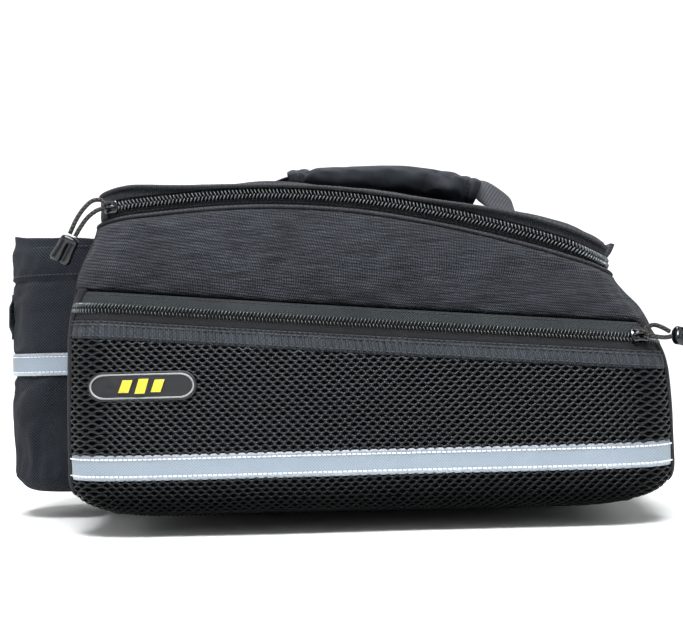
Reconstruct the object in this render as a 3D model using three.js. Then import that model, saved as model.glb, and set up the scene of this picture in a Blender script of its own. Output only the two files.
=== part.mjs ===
// A bicycle trunk bag in millimetres: nose towards +X, bottle pocket towards -X, +Z up.
// The origin is the middle of the runner's underside, where the bag meets the rack.
import * as THREE from 'three';
import { mergeVertices } from 'three/addons/utils/BufferGeometryUtils.js';

// The tub
const bodyLength = 382;
const bodyWidth = 196;
const bodyHeight = 194.5;
const bodyWall = 4;
const cornerRadius = 30;
const endUnderRadius = 42;
const sideUnderRadius = 8;
const noseBow = 8;
const rearBow = 3;
const topTaper = 6;

// The seat between neighbouring pieces
const seatGap = 0.35;

// Runner under the base
const runnerLength = 210;
const runnerPlateWidth = 64;
const runnerPlateThickness = 2.7;
const runnerNeckWidth = 40;
const runnerNeckHeight = 5;
const runnerFlangeWidth = 58;
const runnerFlangeThickness = 4;
const baseHeight = runnerFlangeThickness + runnerNeckHeight + runnerPlateThickness + seatGap;

// Lid and its zip
const lidZipHeight = 10.5;
const lidWall = 3;
const lidCrown = 18;
const skirtHeight = 10;
const lidChainWidth = 6.5;
const lidChainAboveRim = 6.5;
const chainProud = 2;
const tapeThickness = 2;
const tapeRecess = 1.2;
const hingeThickness = 2.6;
const pipingSize = 2;
const pipingBelowRim = 1;
const lidPipingDrop = 0.9;

// Side pockets, their zips, band, stripe and badge
const pocketDepth = 24;
const pocketWall = 2.5;
const pocketEndRound = 45;
const pocketBaseRise = 1.2;
const pocketCornerRise = 20;
const pocketCornerReach = 60;
const pocketZipRearHeight = 131.2;
const pocketZipFrontHeight = 100.2;
const pocketChainWidth = 5.5;
const upperTapeWidth = 6.9;
const lowerTapeWidth = 5.4;
const pocketLipWidth = 1.5;
const pocketTapeThickness = 0.8;
const pocketChainProud = 1.9;
const bandWidth = 10;
const bandThickness = 0.8;
const stripeHeight = 24.3;
const stripeWidth = 15.5;
const stripeThickness = 0.7;
const badgeLength = 66;
const badgeHeight = 18;
const badgeThickness = 1.6;
const badgeRearOffset = 53.5;
const badgeCentreHeight = 81;

// Ribbed panels above the pockets
const panelEdgeThickness = 1.2;
const panelCrown = 3;
const panelSeam = 0.5;

// Bottle pocket on the rear face
const bottleHalfWidth = 42;
const bottleDepth = 60;
const bottleWall = 2;
const bottleBaseHeight = 6.7;
const bottleTopDepth = 14.5;
const bottleTopRise = 5;
const bottleHemWidth = 26;
const bottleHemProud = 1;
const bottleUnderRadius = 20;
const bottleStripeHeight = 87.5;
const lightLoopWidth = 25;
const lightLoopHeight = 32;
const lightLoopCentreHeight = 129.5;
const lightLoopThickness = 1.3;
const lightLoopSlack = 1.5;

// Handle
const strapWidth = 25;
const strapThickness = 2;
const strapLength = 234;
const strapCentreX = 16;
const handleRise = 17.5;
const gripLength = 138;
const gripWidth = 34;
const gripThickness = 13;
const gripSlotPlay = 0.4;

// Nose tab, sliders and pulls
const tabWidth = 16;
const tabThickness = 3.4;
const sliderLength = 10;
const sliderWidth = 8.5;
const sliderThickness = 4.2;
const pullCordDiameter = 2.3;
const pullEndLength = 18;
const pullEndTopWidth = 11.5;
const pullEndFootWidth = 15;
const pullEndThickness = 7;

// Facets
const cornerSteps = 4;
const sideSteps = 9;
const endSteps = 5;

const halfLength = bodyLength / 2;
const halfWidth = bodyWidth / 2;
const bottleHeight = bodyHeight - bottleTopDepth;

// Reach of the rear and front faces, as shares of the half length, by the share of the tub's height
const endProfile = [
  { height: 0.0, rear: 1.0, front: 1.0 },
  { height: 0.45, rear: 1.0, front: 0.995 },
  { height: 0.555, rear: 1.0, front: 0.968 },
  { height: 0.632, rear: 0.999, front: 0.935 },
  { height: 0.684, rear: 0.995, front: 0.895 },
  { height: 0.73, rear: 0.989, front: 0.86 },
  { height: 0.81, rear: 0.967, front: 0.845 },
  { height: 0.915, rear: 0.921, front: 0.84 },
  { height: 1.0, rear: 0.905, front: 0.84 },
];

// Height of the rim along the bag, as a share of the tub's height
const rimProfile = [
  { along: -1.0, height: 0.945 },
  { along: -0.76, height: 0.978 },
  { along: -0.38, height: 1.0 },
  { along: -0.05, height: 0.979 },
  { along: 0.25, height: 0.923 },
  { along: 0.56, height: 0.836 },
  { along: 0.82, height: 0.735 },
  { along: 1.0, height: 0.66 },
];

// The lid's skirt and crown along the bag, as shares of skirtHeight and lidCrown
const lidProfile = [
  { along: -1.0, skirt: 0.9, crown: 0.8 },
  { along: -0.78, skirt: 0.8, crown: 0.74 },
  { along: -0.6, skirt: 0.3, crown: 0.66 },
  { along: -0.4, skirt: 0.12, crown: 0.63 },
  { along: 0.15, skirt: 0.12, crown: 0.64 },
  { along: 0.5, skirt: 0.65, crown: 0.76 },
  { along: 0.73, skirt: 1.0, crown: 0.92 },
  { along: 1.0, skirt: 0.9, crown: 1.0 },
];

// How far a side pocket stands out, as a share of its depth, up its underside and up its face.
// The underside's rise is a share of the way from the pocket's bottom to the stripe.
const pocketUnderside = [
  { rise: 0.0, out: 0.0 },
  { rise: 0.02, out: 0.32 },
  { rise: 0.16, out: 0.64 },
  { rise: 0.46, out: 0.88 },
];
const pocketFace = { stripeLow: 0.99, stripeTop: 1.0, belly: 0.995, bandLow: 0.85, tapeLow: 0.71,
  chainLow: 0.56, chainTop: 0.42, tapeTop: 0.12 };
const bellyShare = 0.35;

// The tub's rows: turns of its rounded underside, shares of the way up to the side pockets' lip,
// shares of the ribbed panel's height above it, and shares of the inner wall's height
const underTurns = [0, 30, 60].map(THREE.MathUtils.degToRad);
const lowerRowShares = [0, 0.35, 0.7];
const panelRowShares = [0, 0.22, 0.5, 0.78, 1];
const innerRowShares = [1, 0.85, 0.6, 0.3, 0];

// The lid's rings, as shares of its outline
const lidOuterRings = [0.93, 0.8, 0.62, 0.42, 0.2];
const lidInnerRings = [0.9, 0.62, 0.2];

// How far the bottle pocket stands out, as a share of its depth, by the share of its height
const bottleBulge = [
  { height: 0.0, reach: 0.96 },
  { height: 0.25, reach: 0.985 },
  { height: 0.6, reach: 1.0 },
  { height: 0.85, reach: 0.985 },
  { height: 1.0, reach: 0.955 },
];
const bottleTurns = [0, 30, 60].map(THREE.MathUtils.degToRad);
const bottleSquareness = 0.75;
const bottleCurveSteps = 14;
const bottleBackSteps = 4;

// The strap's centreline over the lid's crown: share of half its length, share of handleRise
const strapProfile = [
  { along: -1.0, rise: 0 },
  { along: -0.9, rise: 0 },
  { along: -0.79, rise: 0 },
  { along: -0.7, rise: 0.1 },
  { along: -0.58, rise: 0.39 },
  { along: -0.38, rise: 0.56 },
  { along: -0.19, rise: 0.7 },
  { along: 0.1, rise: 0.97 },
  { along: 0.38, rise: 1.0 },
  { along: 0.59, rise: 0.9 },
  { along: 0.66, rise: 0.62 },
  { along: 0.71, rise: 0.24 },
  { along: 0.76, rise: 0.03 },
  { along: 0.84, rise: 0 },
  { along: 1.0, rise: 0 },
];
const gripCentreShare = 0.008;

// The nose tab's centreline, out from the lid's skirt and up from its lower edge
const tabRoute = [
  { out: 2.1, up: 2.5 },
  { out: 2.4, up: 5 },
  { out: 5.0, up: 8.8 },
  { out: 6.8, up: 14 },
  { out: 7.6, up: 20 },
];

// The cord loops from the middle of their sliders: along the bag, off the slider's face, and up
const lidPullRoute = [
  [-19.4, 13, -18.6], [-16.4, 11, -13], [-12, 8, -6.6], [-7, 4.6, -2.4], [-3, 1.9, -0.6],
  [-1.8, 1.6, 2], [-4.4, 2.4, 4.6], [-9.4, 6, 4], [-14.6, 9.6, -1.2], [-19, 12.6, -8.4],
  [-22.6, 15, -16.8],
];
const pocketPullRoute = [
  [18.6, 4.4, -2.4], [15, 3.8, -3.4], [11, 3.2, -3.6], [6, 2.4, -2.8], [2.2, 1.6, -0.6],
  [2.2, 1.6, 2.2], [6, 2.4, 5], [10.5, 3.2, 6.3], [15, 3.9, 4.6], [19.2, 4.4, 1.6],
];
const cordSteps = 18;

// A slider's outline up its thickness, and a pull end's width and thickness down its length
const sliderLevels = [
  { share: 0, scale: 0.92 },
  { share: 0.25, scale: 1 },
  { share: 0.7, scale: 0.86 },
  { share: 1, scale: 0.64 },
];
const pullEndLevels = [
  { share: 0, wide: 0.86, thick: 0.86 },
  { share: 0.1, wide: 1, thick: 1 },
  { share: 0.45, wide: 0.94, thick: 0.9 },
  { share: 0.85, wide: 1, thick: 1 },
  { share: 1, wide: 0.84, thick: 0.8 },
];

const fabric = { color: 0x1b1c1f, roughness: 0.92, metalness: 0 };
const netting = { color: 0x141517, roughness: 0.85, metalness: 0 };
const webbing = { color: 0x202226, roughness: 0.8, metalness: 0 };
const reflective = { color: 0xa9b2bd, roughness: 0.35, metalness: 0.2 };
const zipCoil = { color: 0x0c0c0d, roughness: 0.35, metalness: 0 };
const moulded = { color: 0x0e0e0f, roughness: 0.4, metalness: 0 };
const rubber = { color: 0x141414, roughness: 0.6, metalness: 0 };

const bag = new THREE.Group();

// A value from a table by a smooth curve through its rows.
function readTable(rows, at, key, name) {
  const last = rows.length - 1;
  const place = THREE.MathUtils.clamp(at, rows[0][key], rows[last][key]);
  let i = 0;
  while (i < last - 1 && place > rows[i + 1][key]) i += 1;
  const slope = (k) => {
    const low = rows[Math.max(k - 1, 0)];
    const high = rows[Math.min(k + 1, last)];
    return (high[name] - low[name]) / (high[key] - low[key]);
  };
  const span = rows[i + 1][key] - rows[i][key];
  const t = (place - rows[i][key]) / span;
  const rest = 1 - t;
  return rows[i][name] * (1 + 2 * t) * rest * rest + slope(i) * span * t * rest * rest
    + rows[i + 1][name] * t * t * (3 - 2 * t) - slope(i + 1) * span * t * t * rest;
}

// Columns round the tub, counter-clockwise from the start of the near rear corner.
const stretches = [
  { name: 'corner', steps: cornerSteps, x: -1, y: -1, turn: Math.PI },
  { name: 'side', steps: sideSteps, y: -1 },
  { name: 'corner', steps: cornerSteps, x: 1, y: -1, turn: 1.5 * Math.PI },
  { name: 'end', steps: endSteps, x: 1 },
  { name: 'corner', steps: cornerSteps, x: 1, y: 1, turn: 0 },
  { name: 'side', steps: sideSteps, y: 1 },
  { name: 'corner', steps: cornerSteps, x: -1, y: 1, turn: 0.5 * Math.PI },
  { name: 'end', steps: endSteps, x: -1 },
];
const columnCount = stretches.reduce((sum, stretch) => sum + stretch.steps, 0);
const allColumns = Array.from({ length: columnCount }, (_, i) => i);
const frontCornerStart = cornerSteps + sideSteps;

function stretchAt(column) {
  let start = ((column % columnCount) + columnCount) % columnCount;
  let i = 0;
  while (i < stretches.length - 1 && start >= stretches[i].steps) {
    start -= stretches[i].steps;
    i += 1;
  }
  return { ...stretches[i], share: start / stretches[i].steps };
}

const heightShare = (z) => (z - baseHeight) / bodyHeight;
const rearReach = (z) => halfLength * readTable(endProfile, heightShare(z), 'height', 'rear');
const frontReach = (z) => halfLength * readTable(endProfile, heightShare(z), 'height', 'front');
const sideReach = (z) => halfWidth - topTaper * Math.max(0, (heightShare(z) - 0.6) / 0.4) ** 2;

// The direction that a column faces.
function facing(column) {
  const { name, x, y, turn, share } = stretchAt(column);
  if (name === 'side') return new THREE.Vector3(0, y, 0);
  if (name === 'end') return new THREE.Vector3(x, 0, 0);
  const angle = turn + share * Math.PI / 2;
  return new THREE.Vector3(Math.cos(angle), Math.sin(angle), 0);
}

// A point on the tub's upright wall at a column and height, moved outwards by a distance.
function wallPoint(column, z, outward = 0) {
  const { name, x, y, share } = stretchAt(column);
  const side = sideReach(z);
  const way = facing(column);
  const point = new THREE.Vector3(0, 0, z);
  if (name === 'side') {
    const along = y < 0 ? share : 1 - share;
    point.x = THREE.MathUtils.lerp(cornerRadius - rearReach(z), frontReach(z) - cornerRadius, along);
    point.y = y * side;
  } else if (name === 'end') {
    const across = x > 0 ? 2 * share - 1 : 1 - 2 * share;
    const bow = (x > 0 ? noseBow : rearBow) * (1 - across * across);
    point.x = x * ((x > 0 ? frontReach(z) : rearReach(z)) + bow);
    point.y = across * (side - cornerRadius);
  } else {
    const reach = x > 0 ? frontReach(z) : rearReach(z);
    point.x = x * (reach - cornerRadius) + way.x * cornerRadius;
    point.y = y * (side - cornerRadius) + way.y * cornerRadius;
  }
  return point.addScaledVector(way, outward);
}

const rimHeight = (x) => baseHeight
  + bodyHeight * readTable(rimProfile, x / halfLength, 'along', 'height');
const lidSkirt = (x) => skirtHeight * readTable(lidProfile, x / halfLength, 'along', 'skirt');
const lidCrownAt = (x) => lidCrown * readTable(lidProfile, x / halfLength, 'along', 'crown');

// The rim's height at a column, where its leaning wall meets the rim's line.
function rimAt(column) {
  let z = baseHeight + 0.9 * bodyHeight;
  for (let i = 0; i < 40; i += 1) z = (z + rimHeight(wallPoint(column, z).x)) / 2;
  return z;
}
const rimHeights = allColumns.map(rimAt);

// A point above the rim, straight over the tub's wall.
function overRim(column, above, outward = 0) {
  const rim = Number.isInteger(column) ? rimHeights[(column + columnCount) % columnCount] : rimAt(column);
  const point = wallPoint(column, rim, outward);
  point.z += above;
  return point;
}

// The radius between the wall and the underside.
function underRadius(column) {
  const endShare = facing(column).x ** 2;
  return THREE.MathUtils.lerp(sideUnderRadius, endUnderRadius, endShare);
}

// Draws a point in from the wall towards the flat of the base: share 1 is where the flat starts.
function drawIn(point, column, share, wall = 0) {
  const way = facing(column);
  point.x -= way.x * share * (endUnderRadius - wall);
  point.y -= way.y * share * (sideUnderRadius - wall);
  return point;
}

// Joins rings of points into one closed body; open runs get flat end caps, a loop needs none.
function ringSolid(rings, looped = false) {
  const count = rings[0].length;
  const points = rings.flat();
  const faces = [];
  const runs = looped ? rings.length : rings.length - 1;
  for (let i = 0; i < runs; i += 1) {
    const next = (i + 1) % rings.length;
    for (let j = 0; j < count; j += 1) {
      const k = (j + 1) % count;
      faces.push([i * count + j, i * count + k, next * count + k]);
      faces.push([i * count + j, next * count + k, next * count + j]);
    }
  }
  if (!looped) {
    capFaces(rings[0]).forEach(([a, b, c]) => faces.push([a, c, b]));
    const start = (rings.length - 1) * count;
    capFaces(rings.at(-1)).forEach(([a, b, c]) => faces.push([start + a, start + b, start + c]));
  }
  return closedGeometry(points, faces);
}

// Triangles over a ring, wound the way that the ring runs.
function capFaces(ring) {
  const normal = new THREE.Vector3();
  ring.forEach((point, i) => {
    const next = ring[(i + 1) % ring.length];
    normal.x += (point.y - next.y) * (point.z + next.z);
    normal.y += (point.z - next.z) * (point.x + next.x);
    normal.z += (point.x - next.x) * (point.y + next.y);
  });
  normal.normalize();
  const across = new THREE.Vector3(Math.abs(normal.x) < 0.9 ? 1 : 0, Math.abs(normal.x) < 0.9 ? 0 : 1, 0);
  across.cross(normal).normalize();
  const up = normal.clone().cross(across);
  const flat = ring.map((point) => new THREE.Vector2(point.dot(across), point.dot(up)));
  return THREE.ShapeUtils.triangulateShape(flat, []).map(([a, b, c]) => {
    const turn = (flat[b].x - flat[a].x) * (flat[c].y - flat[a].y)
      - (flat[b].y - flat[a].y) * (flat[c].x - flat[a].x);
    return turn > 0 ? [a, b, c] : [a, c, b];
  });
}

// A geometry from points and faces, turned to face outwards.
function closedGeometry(points, faces) {
  const volume = faces.reduce((sum, [a, b, c]) => (
    sum + points[a].dot(points[b].clone().cross(points[c]))), 0);
  const geometry = new THREE.BufferGeometry();
  geometry.setAttribute('position', new THREE.Float32BufferAttribute(
    points.flatMap((point) => [point.x, point.y, point.z]), 3));
  geometry.setIndex(faces.flatMap(([a, b, c]) => (volume > 0 ? [a, b, c] : [a, c, b])));
  return geometry;
}

// A skin between an outer and an inner grid of points that share their edges' shape.
function skinSolid(outer, inner) {
  const rows = outer.length;
  const columns = outer[0].length;
  const points = [...outer.flat(), ...inner.flat()];
  const under = rows * columns;
  const faces = [];
  const quad = (a, b, c, d) => faces.push([a, b, c], [a, c, d]);
  for (let i = 0; i < rows - 1; i += 1) {
    for (let j = 0; j < columns - 1; j += 1) {
      const at = i * columns + j;
      quad(at, at + 1, at + columns + 1, at + columns);
      quad(under + at + columns, under + at + columns + 1, under + at + 1, under + at);
    }
  }
  for (let j = 0; j < columns - 1; j += 1) {
    const top = (rows - 1) * columns + j;
    quad(under + j, under + j + 1, j + 1, j);
    quad(top, top + 1, under + top + 1, under + top);
  }
  for (let i = 0; i < rows - 1; i += 1) {
    const left = i * columns;
    const right = left + columns - 1;
    quad(left, left + columns, under + left + columns, under + left);
    quad(under + right, under + right + columns, right + columns, right);
  }
  return closedGeometry(points, faces);
}

// A copy of a geometry on the other side of the bag.
function mirrored(geometry) {
  const copy = geometry.clone().scale(1, -1, 1);
  const index = copy.index.array;
  for (let i = 0; i < index.length; i += 3) [index[i + 1], index[i + 2]] = [index[i + 2], index[i + 1]];
  return copy;
}

function addPiece(name, geometry, finish) {
  const mesh = new THREE.Mesh(geometry, new THREE.MeshStandardMaterial(finish));
  mesh.name = name;
  bag.add(mesh);
}

function addPair(name, geometry, finish) {
  addPiece(`${name}_near`, geometry, finish);
  addPiece(`${name}_far`, mirrored(geometry), finish);
}

// An oval or squarish ring round a centre: power 1 is an ellipse, lower is squarer.
function ovalRing(centre, across, up, halfAcross, halfUp, sides, power = 1) {
  return Array.from({ length: sides }, (_, i) => {
    const angle = (i + 0.5) * 2 * Math.PI / sides;
    const c = Math.cos(angle);
    const s = Math.sin(angle);
    return centre.clone()
      .addScaledVector(across, halfAcross * Math.sign(c) * Math.abs(c) ** power)
      .addScaledVector(up, halfUp * Math.sign(s) * Math.abs(s) ** power);
  });
}

// The runner: a plate under the base, a neck and a flange with a slot along each side.
function runnerGeometry() {
  const flange = runnerFlangeWidth / 2;
  const neck = runnerNeckWidth / 2;
  const plate = runnerPlateWidth / 2;
  const neckLow = runnerFlangeThickness;
  const neckTop = neckLow + runnerNeckHeight;
  const top = neckTop + runnerPlateThickness;
  const half = [[flange, 0], [flange, neckLow], [neck, neckLow], [neck, neckTop], [plate, neckTop],
    [plate, top]];
  const outline = [...half, ...half.map(([y, z]) => [-y, z]).reverse()];
  const rings = [-runnerLength / 2, runnerLength / 2].map((x) => (
    outline.map(([y, z]) => new THREE.Vector3(x, y, z))));
  return ringSolid(rings);
}
addPiece('base_runner', runnerGeometry(), moulded);

// The height at which lengths along the walls are measured
const middleHeight = baseHeight + bodyHeight * 0.45;

// Lines along a side pocket, by their height at a column.
function pocketLine(column, name) {
  const along = (wallPoint(column, middleHeight).x / halfLength + 1) / 2;
  const zip = baseHeight + THREE.MathUtils.lerp(pocketZipRearHeight, pocketZipFrontHeight, along);
  const chainLow = zip - pocketChainWidth / 2;
  const tapeLow = chainLow - lowerTapeWidth;
  const bandLow = tapeLow - bandWidth - panelSeam;
  const stripeLow = baseHeight + stripeHeight;
  const stripeTop = stripeLow + stripeWidth;
  const lines = {
    lip: zip + pocketChainWidth / 2 + upperTapeWidth + pocketLipWidth,
    tapeTop: zip + pocketChainWidth / 2 + upperTapeWidth,
    chainTop: zip + pocketChainWidth / 2,
    chainLow, tapeLow, bandLow, stripeTop, stripeLow,
    belly: THREE.MathUtils.lerp(stripeTop, bandLow, bellyShare),
  };
  return lines[name];
}

// The padded tub, open at the rim.
const panelTop = pipingBelowRim + pipingSize + panelSeam;
const uprightStart = (column) => baseHeight + Math.max(underRadius(column), bodyWall + 1);
function outerHeights(column) {
  const start = uprightStart(column);
  const lip = pocketLine(column, 'lip') + panelSeam;
  const top = rimHeights[column] - panelTop;
  return [
    ...lowerRowShares.map((share) => THREE.MathUtils.lerp(start, lip, share)),
    ...panelRowShares.map((share) => THREE.MathUtils.lerp(lip, top, share)),
    rimHeights[column],
  ];
}
function tubGeometry() {
  const ringOf = (place) => allColumns.map(place);
  const outerCount = outerHeights(0).length;
  return ringSolid([
    ...underTurns.map((turn) => ringOf((column) => {
      const z = baseHeight + underRadius(column) * (1 - Math.cos(turn));
      return drawIn(wallPoint(column, z), column, 1 - Math.sin(turn));
    })),
    ...Array.from({ length: outerCount }, (_, row) => ringOf((column) => (
      wallPoint(column, outerHeights(column)[row])))),
    ...innerRowShares.map((share) => ringOf((column) => (
      wallPoint(column, THREE.MathUtils.lerp(uprightStart(column), rimHeights[column], share), -bodyWall)))),
    ...underTurns.slice(0, 2).reverse().map((turn) => ringOf((column) => {
      const radius = uprightStart(column) - baseHeight - bodyWall;
      const z = baseHeight + bodyWall + radius * (1 - Math.cos(turn));
      return drawIn(wallPoint(column, z, -bodyWall), column, 1 - Math.sin(turn), bodyWall);
    })),
  ]);
}
addPiece('main_body', tubGeometry(), fabric);

// A point on the tub's faceted outer face, lifted off it; below the upright rows it follows the wall
// and keeps one more seat off it.
function onTub(column, z, lift) {
  const heights = outerHeights(column);
  if (z <= heights[0]) {
    const down = THREE.MathUtils.clamp(1 - (z - baseHeight) / underRadius(column), 0, 1);
    return drawIn(wallPoint(column, z, lift + seatGap), column, 1 - Math.sqrt(1 - down * down));
  }
  const i = Math.min(heights.findLastIndex((height) => height <= z), heights.length - 2);
  const share = (z - heights[i]) / (heights[i + 1] - heights[i]);
  return wallPoint(column, heights[i]).lerp(wallPoint(column, heights[i + 1]), share)
    .addScaledVector(facing(column), lift);
}

// The rows of a side pocket at a column: height, and share of the depth that it stands out.
const pocketFaceLines = ['stripeLow', 'stripeTop', 'belly', 'bandLow', 'tapeLow', 'chainLow', 'chainTop',
  'tapeTop'];
const pocketRow = Object.fromEntries([...pocketFaceLines, 'lip'].map((name, i) => (
  [name, i + pocketUnderside.length])));
const pocketStart = cornerSteps / 2;
const pocketEnd = frontCornerStart + cornerSteps / 2;

// A quarter round along the pocket: 0 at its ends, 1 from a given reach on.
function endRound(column, reach) {
  const walk = (from, to) => {
    let length = 0;
    for (let i = from; i < to; i += 1) {
      length += wallPoint(i, middleHeight).distanceTo(wallPoint(i + 1, middleHeight));
    }
    return length;
  };
  const toEnd = Math.min(walk(pocketStart, column), walk(column, pocketEnd)) / reach;
  return Math.sqrt(1 - (1 - Math.min(toEnd, 1)) ** 2);
}

function pocketRows(column) {
  const cornerRise = pocketCornerRise * (1 - endRound(column, pocketCornerReach));
  const bottom = baseHeight + pocketBaseRise + cornerRise;
  const stripeLow = pocketLine(column, 'stripeLow');
  return [
    ...pocketUnderside.map(({ rise, out }) => ({ z: THREE.MathUtils.lerp(bottom, stripeLow, rise), out })),
    ...pocketFaceLines.map((name) => ({ z: pocketLine(column, name), out: pocketFace[name] })),
    { z: pocketLine(column, 'lip'), out: 0 },
  ];
}

const pocketColumns = allColumns.slice(pocketStart, pocketEnd + 1);
const pocketBulge = pocketDepth - pocketWall - seatGap;

// A pocket's outer and inner points, row by row; the inner ones lie a wall's thickness inside.
function pocketGrids() {
  const outer = [];
  const inner = [];
  const sections = pocketColumns.map((column) => ({
    column, rows: pocketRows(column), full: endRound(column, pocketEndRound) }));
  const last = sections[0].rows.length - 1;
  for (let row = 0; row <= last; row += 1) {
    const outerRow = [];
    const innerRow = [];
    sections.forEach(({ column, rows, full }) => {
      const { z, out } = rows[row];
      const stand = out * pocketBulge * full;
      const lower = rows[Math.max(row - 1, 0)];
      const upper = rows[Math.min(row + 1, last)];
      const lean = new THREE.Vector2(upper.z - lower.z, (lower.out - upper.out) * pocketBulge * full);
      lean.normalize();
      const atEdge = row === 0 || row === last || full === 0;
      const innerZ = atEdge ? z : z - pocketWall * lean.y;
      const innerStand = atEdge ? 0 : Math.max(0, stand + pocketWall * (1 - lean.x));
      outerRow.push(onTub(column, z, seatGap + pocketWall + stand));
      innerRow.push(onTub(column, innerZ, seatGap + Math.min(innerStand, stand)));
    });
    outer.push(outerRow);
    inner.push(innerRow);
  }
  return { outer, inner };
}
const pocket = pocketGrids();
addPair('side_pocket', skinSolid(pocket.outer, pocket.inner), netting);

// A point on a pocket's outer face, between its rows and columns, lifted off along the column.
function onPocket(column, row, lift) {
  const i = Math.min(Math.floor(column - pocketStart), pocketColumns.length - 2);
  const j = Math.min(Math.floor(row), pocket.outer.length - 2);
  const u = column - pocketStart - i;
  const v = row - j;
  const start = pocket.outer[j][i];
  const end = pocket.outer[j + 1][i + 1];
  const corner = u > v ? pocket.outer[j][i + 1] : pocket.outer[j + 1][i];
  const way = facing(pocketColumns[i]).lerp(facing(pocketColumns[i + 1]), u).normalize();
  return start.clone().lerp(corner, Math.abs(u - v)).addScaledVector(
    end.clone().sub(start), Math.min(u, v)).addScaledVector(way, lift);
}

// A strip along a pocket between two rows, with steps in its thickness where given.
function pocketStrip(steps) {
  const rows = steps.map((step) => step.row);
  return ringSolid([...pocketColumns].reverse().map((column) => [
    ...steps.map(({ row, thickness }) => onPocket(column, row, seatGap + thickness)),
    ...[...new Set(rows)].reverse().map((row) => onPocket(column, row, seatGap)),
  ]));
}
const edgeInset = 0.04;
addPair('pocket_zip', pocketStrip([
  { row: pocketRow.tapeLow + edgeInset, thickness: pocketTapeThickness },
  { row: pocketRow.chainLow, thickness: pocketTapeThickness },
  { row: pocketRow.chainLow, thickness: pocketTapeThickness + pocketChainProud },
  { row: pocketRow.chainTop, thickness: pocketTapeThickness + pocketChainProud },
  { row: pocketRow.chainTop, thickness: pocketTapeThickness },
  { row: pocketRow.tapeTop, thickness: pocketTapeThickness },
]), zipCoil);
addPair('pocket_band', pocketStrip([
  { row: pocketRow.bandLow, thickness: bandThickness },
  { row: pocketRow.tapeLow - edgeInset, thickness: bandThickness },
]), webbing);
addPair('side_stripe', pocketStrip([
  { row: pocketRow.stripeLow, thickness: stripeThickness },
  { row: pocketRow.stripeTop, thickness: stripeThickness },
]), reflective);

// The rubber badge: a plate with round ends that follows the pocket's face.
function badgeGeometry() {
  const centreHeight = baseHeight + badgeCentreHeight;
  const columnXs = pocketColumns.map((_, i) => pocket.outer[pocketRow.belly][i].x);
  const columnAt = (x) => {
    let i = 0;
    while (i < columnXs.length - 2 && x > columnXs[i + 1]) i += 1;
    return pocketStart + i + (x - columnXs[i]) / (columnXs[i + 1] - columnXs[i]);
  };
  const rowAt = (column, z) => {
    const low = onPocket(column, pocketRow.belly, 0).z;
    const high = onPocket(column, pocketRow.bandLow, 0).z;
    return pocketRow.belly + (z - low) / (high - low);
  };
  const start = badgeRearOffset - halfLength - badgeLength / 2;
  const end = start + badgeLength;
  const round = badgeHeight / 2;
  const turns = [0.12, 0.4, 0.7, 1].map((share) => round * (1 - Math.cos(share * Math.PI / 2)));
  const stations = [...turns.map((inset) => start + inset), ...turns.map((inset) => end - inset),
    ...columnXs.filter((x) => x > start + round && x < end - round)].sort((a, b) => a - b);
  const grids = [seatGap + badgeThickness, seatGap].map((lift) => [-1, 1].map((side) => (
    stations.map((x) => {
      const inset = Math.min(x - start, end - x, round);
      const half = Math.sqrt(round * round - (round - inset) ** 2);
      const column = columnAt(x);
      return onPocket(column, rowAt(column, centreHeight + side * half), lift);
    }))));
  return skinSolid(grids[0], grids[1]);
}
addPair('badge', badgeGeometry(), rubber);

// Piping round the rim, then the ribbed panel between it and the pocket's lip.
function pipingGeometry(place) {
  const half = pipingSize / 2;
  return ringSolid(allColumns.map((column) => [[0, -half], [0, half], [half * 1.4, half], [pipingSize, 0],
    [half * 1.4, -half]].map(([out, up]) => place(column, up, seatGap + out))), true);
}
addPiece('rim_piping', pipingGeometry((column, up, out) => (
  onTub(column, rimHeights[column] - pipingBelowRim - pipingSize / 2 + up, out))), webbing);

function panelGeometry() {
  const columns = allColumns.slice(1, frontCornerStart + cornerSteps);
  const grids = [1, 0].map((outer) => panelRowShares.map((share) => columns.map((column, i) => {
    const low = pocketLine(column, 'lip') + panelSeam;
    const z = THREE.MathUtils.lerp(low, rimHeights[column] - panelTop, share);
    const along = Math.sin(Math.PI * i / (columns.length - 1)) ** 0.5;
    const crown = panelEdgeThickness + panelCrown * Math.sin(Math.PI * share) * along;
    return onTub(column, z, seatGap + outer * crown);
  })));
  return skinSolid(grids[0], grids[1]);
}
addPair('side_panel', panelGeometry(), fabric);

// The lid's zip from one rear corner round the nose to the other, and the hinge strip behind.
const lidZipStart = 2;
const lidZipEnd = columnCount - endSteps - lidZipStart;
const lidZipColumns = allColumns.slice(lidZipStart, lidZipEnd + 1);
const lidSeat = lidZipHeight - seatGap;
function lidZipGeometry() {
  const low = lidChainAboveRim - lidChainWidth / 2;
  const top = lidChainAboveRim + lidChainWidth / 2;
  const back = -tapeRecess - tapeThickness;
  const section = [[back, seatGap], [-tapeRecess, seatGap], [-tapeRecess, low],
    [chainProud - tapeRecess, low], [chainProud - tapeRecess, top], [-tapeRecess, top],
    [-tapeRecess, lidSeat], [back, lidSeat]];
  return ringSolid(lidZipColumns.map((column) => section.map(([out, up]) => overRim(column, up, out))));
}
addPiece('lid_zip', lidZipGeometry(), zipCoil);

function hingeGeometry() {
  const endGap = 0.06;
  const columns = [lidZipEnd + endGap, ...allColumns.slice(lidZipEnd + 1),
    ...allColumns.slice(0, lidZipStart), lidZipStart - endGap];
  const out = -tapeRecess / 2;
  return ringSolid(columns.map((column) => [[out - hingeThickness, seatGap], [out, seatGap], [out, lidSeat],
    [out - hingeThickness, lidSeat]].map(([outward, up]) => overRim(column, up, outward))));
}
addPiece('lid_hinge', hingeGeometry(), fabric);

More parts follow.
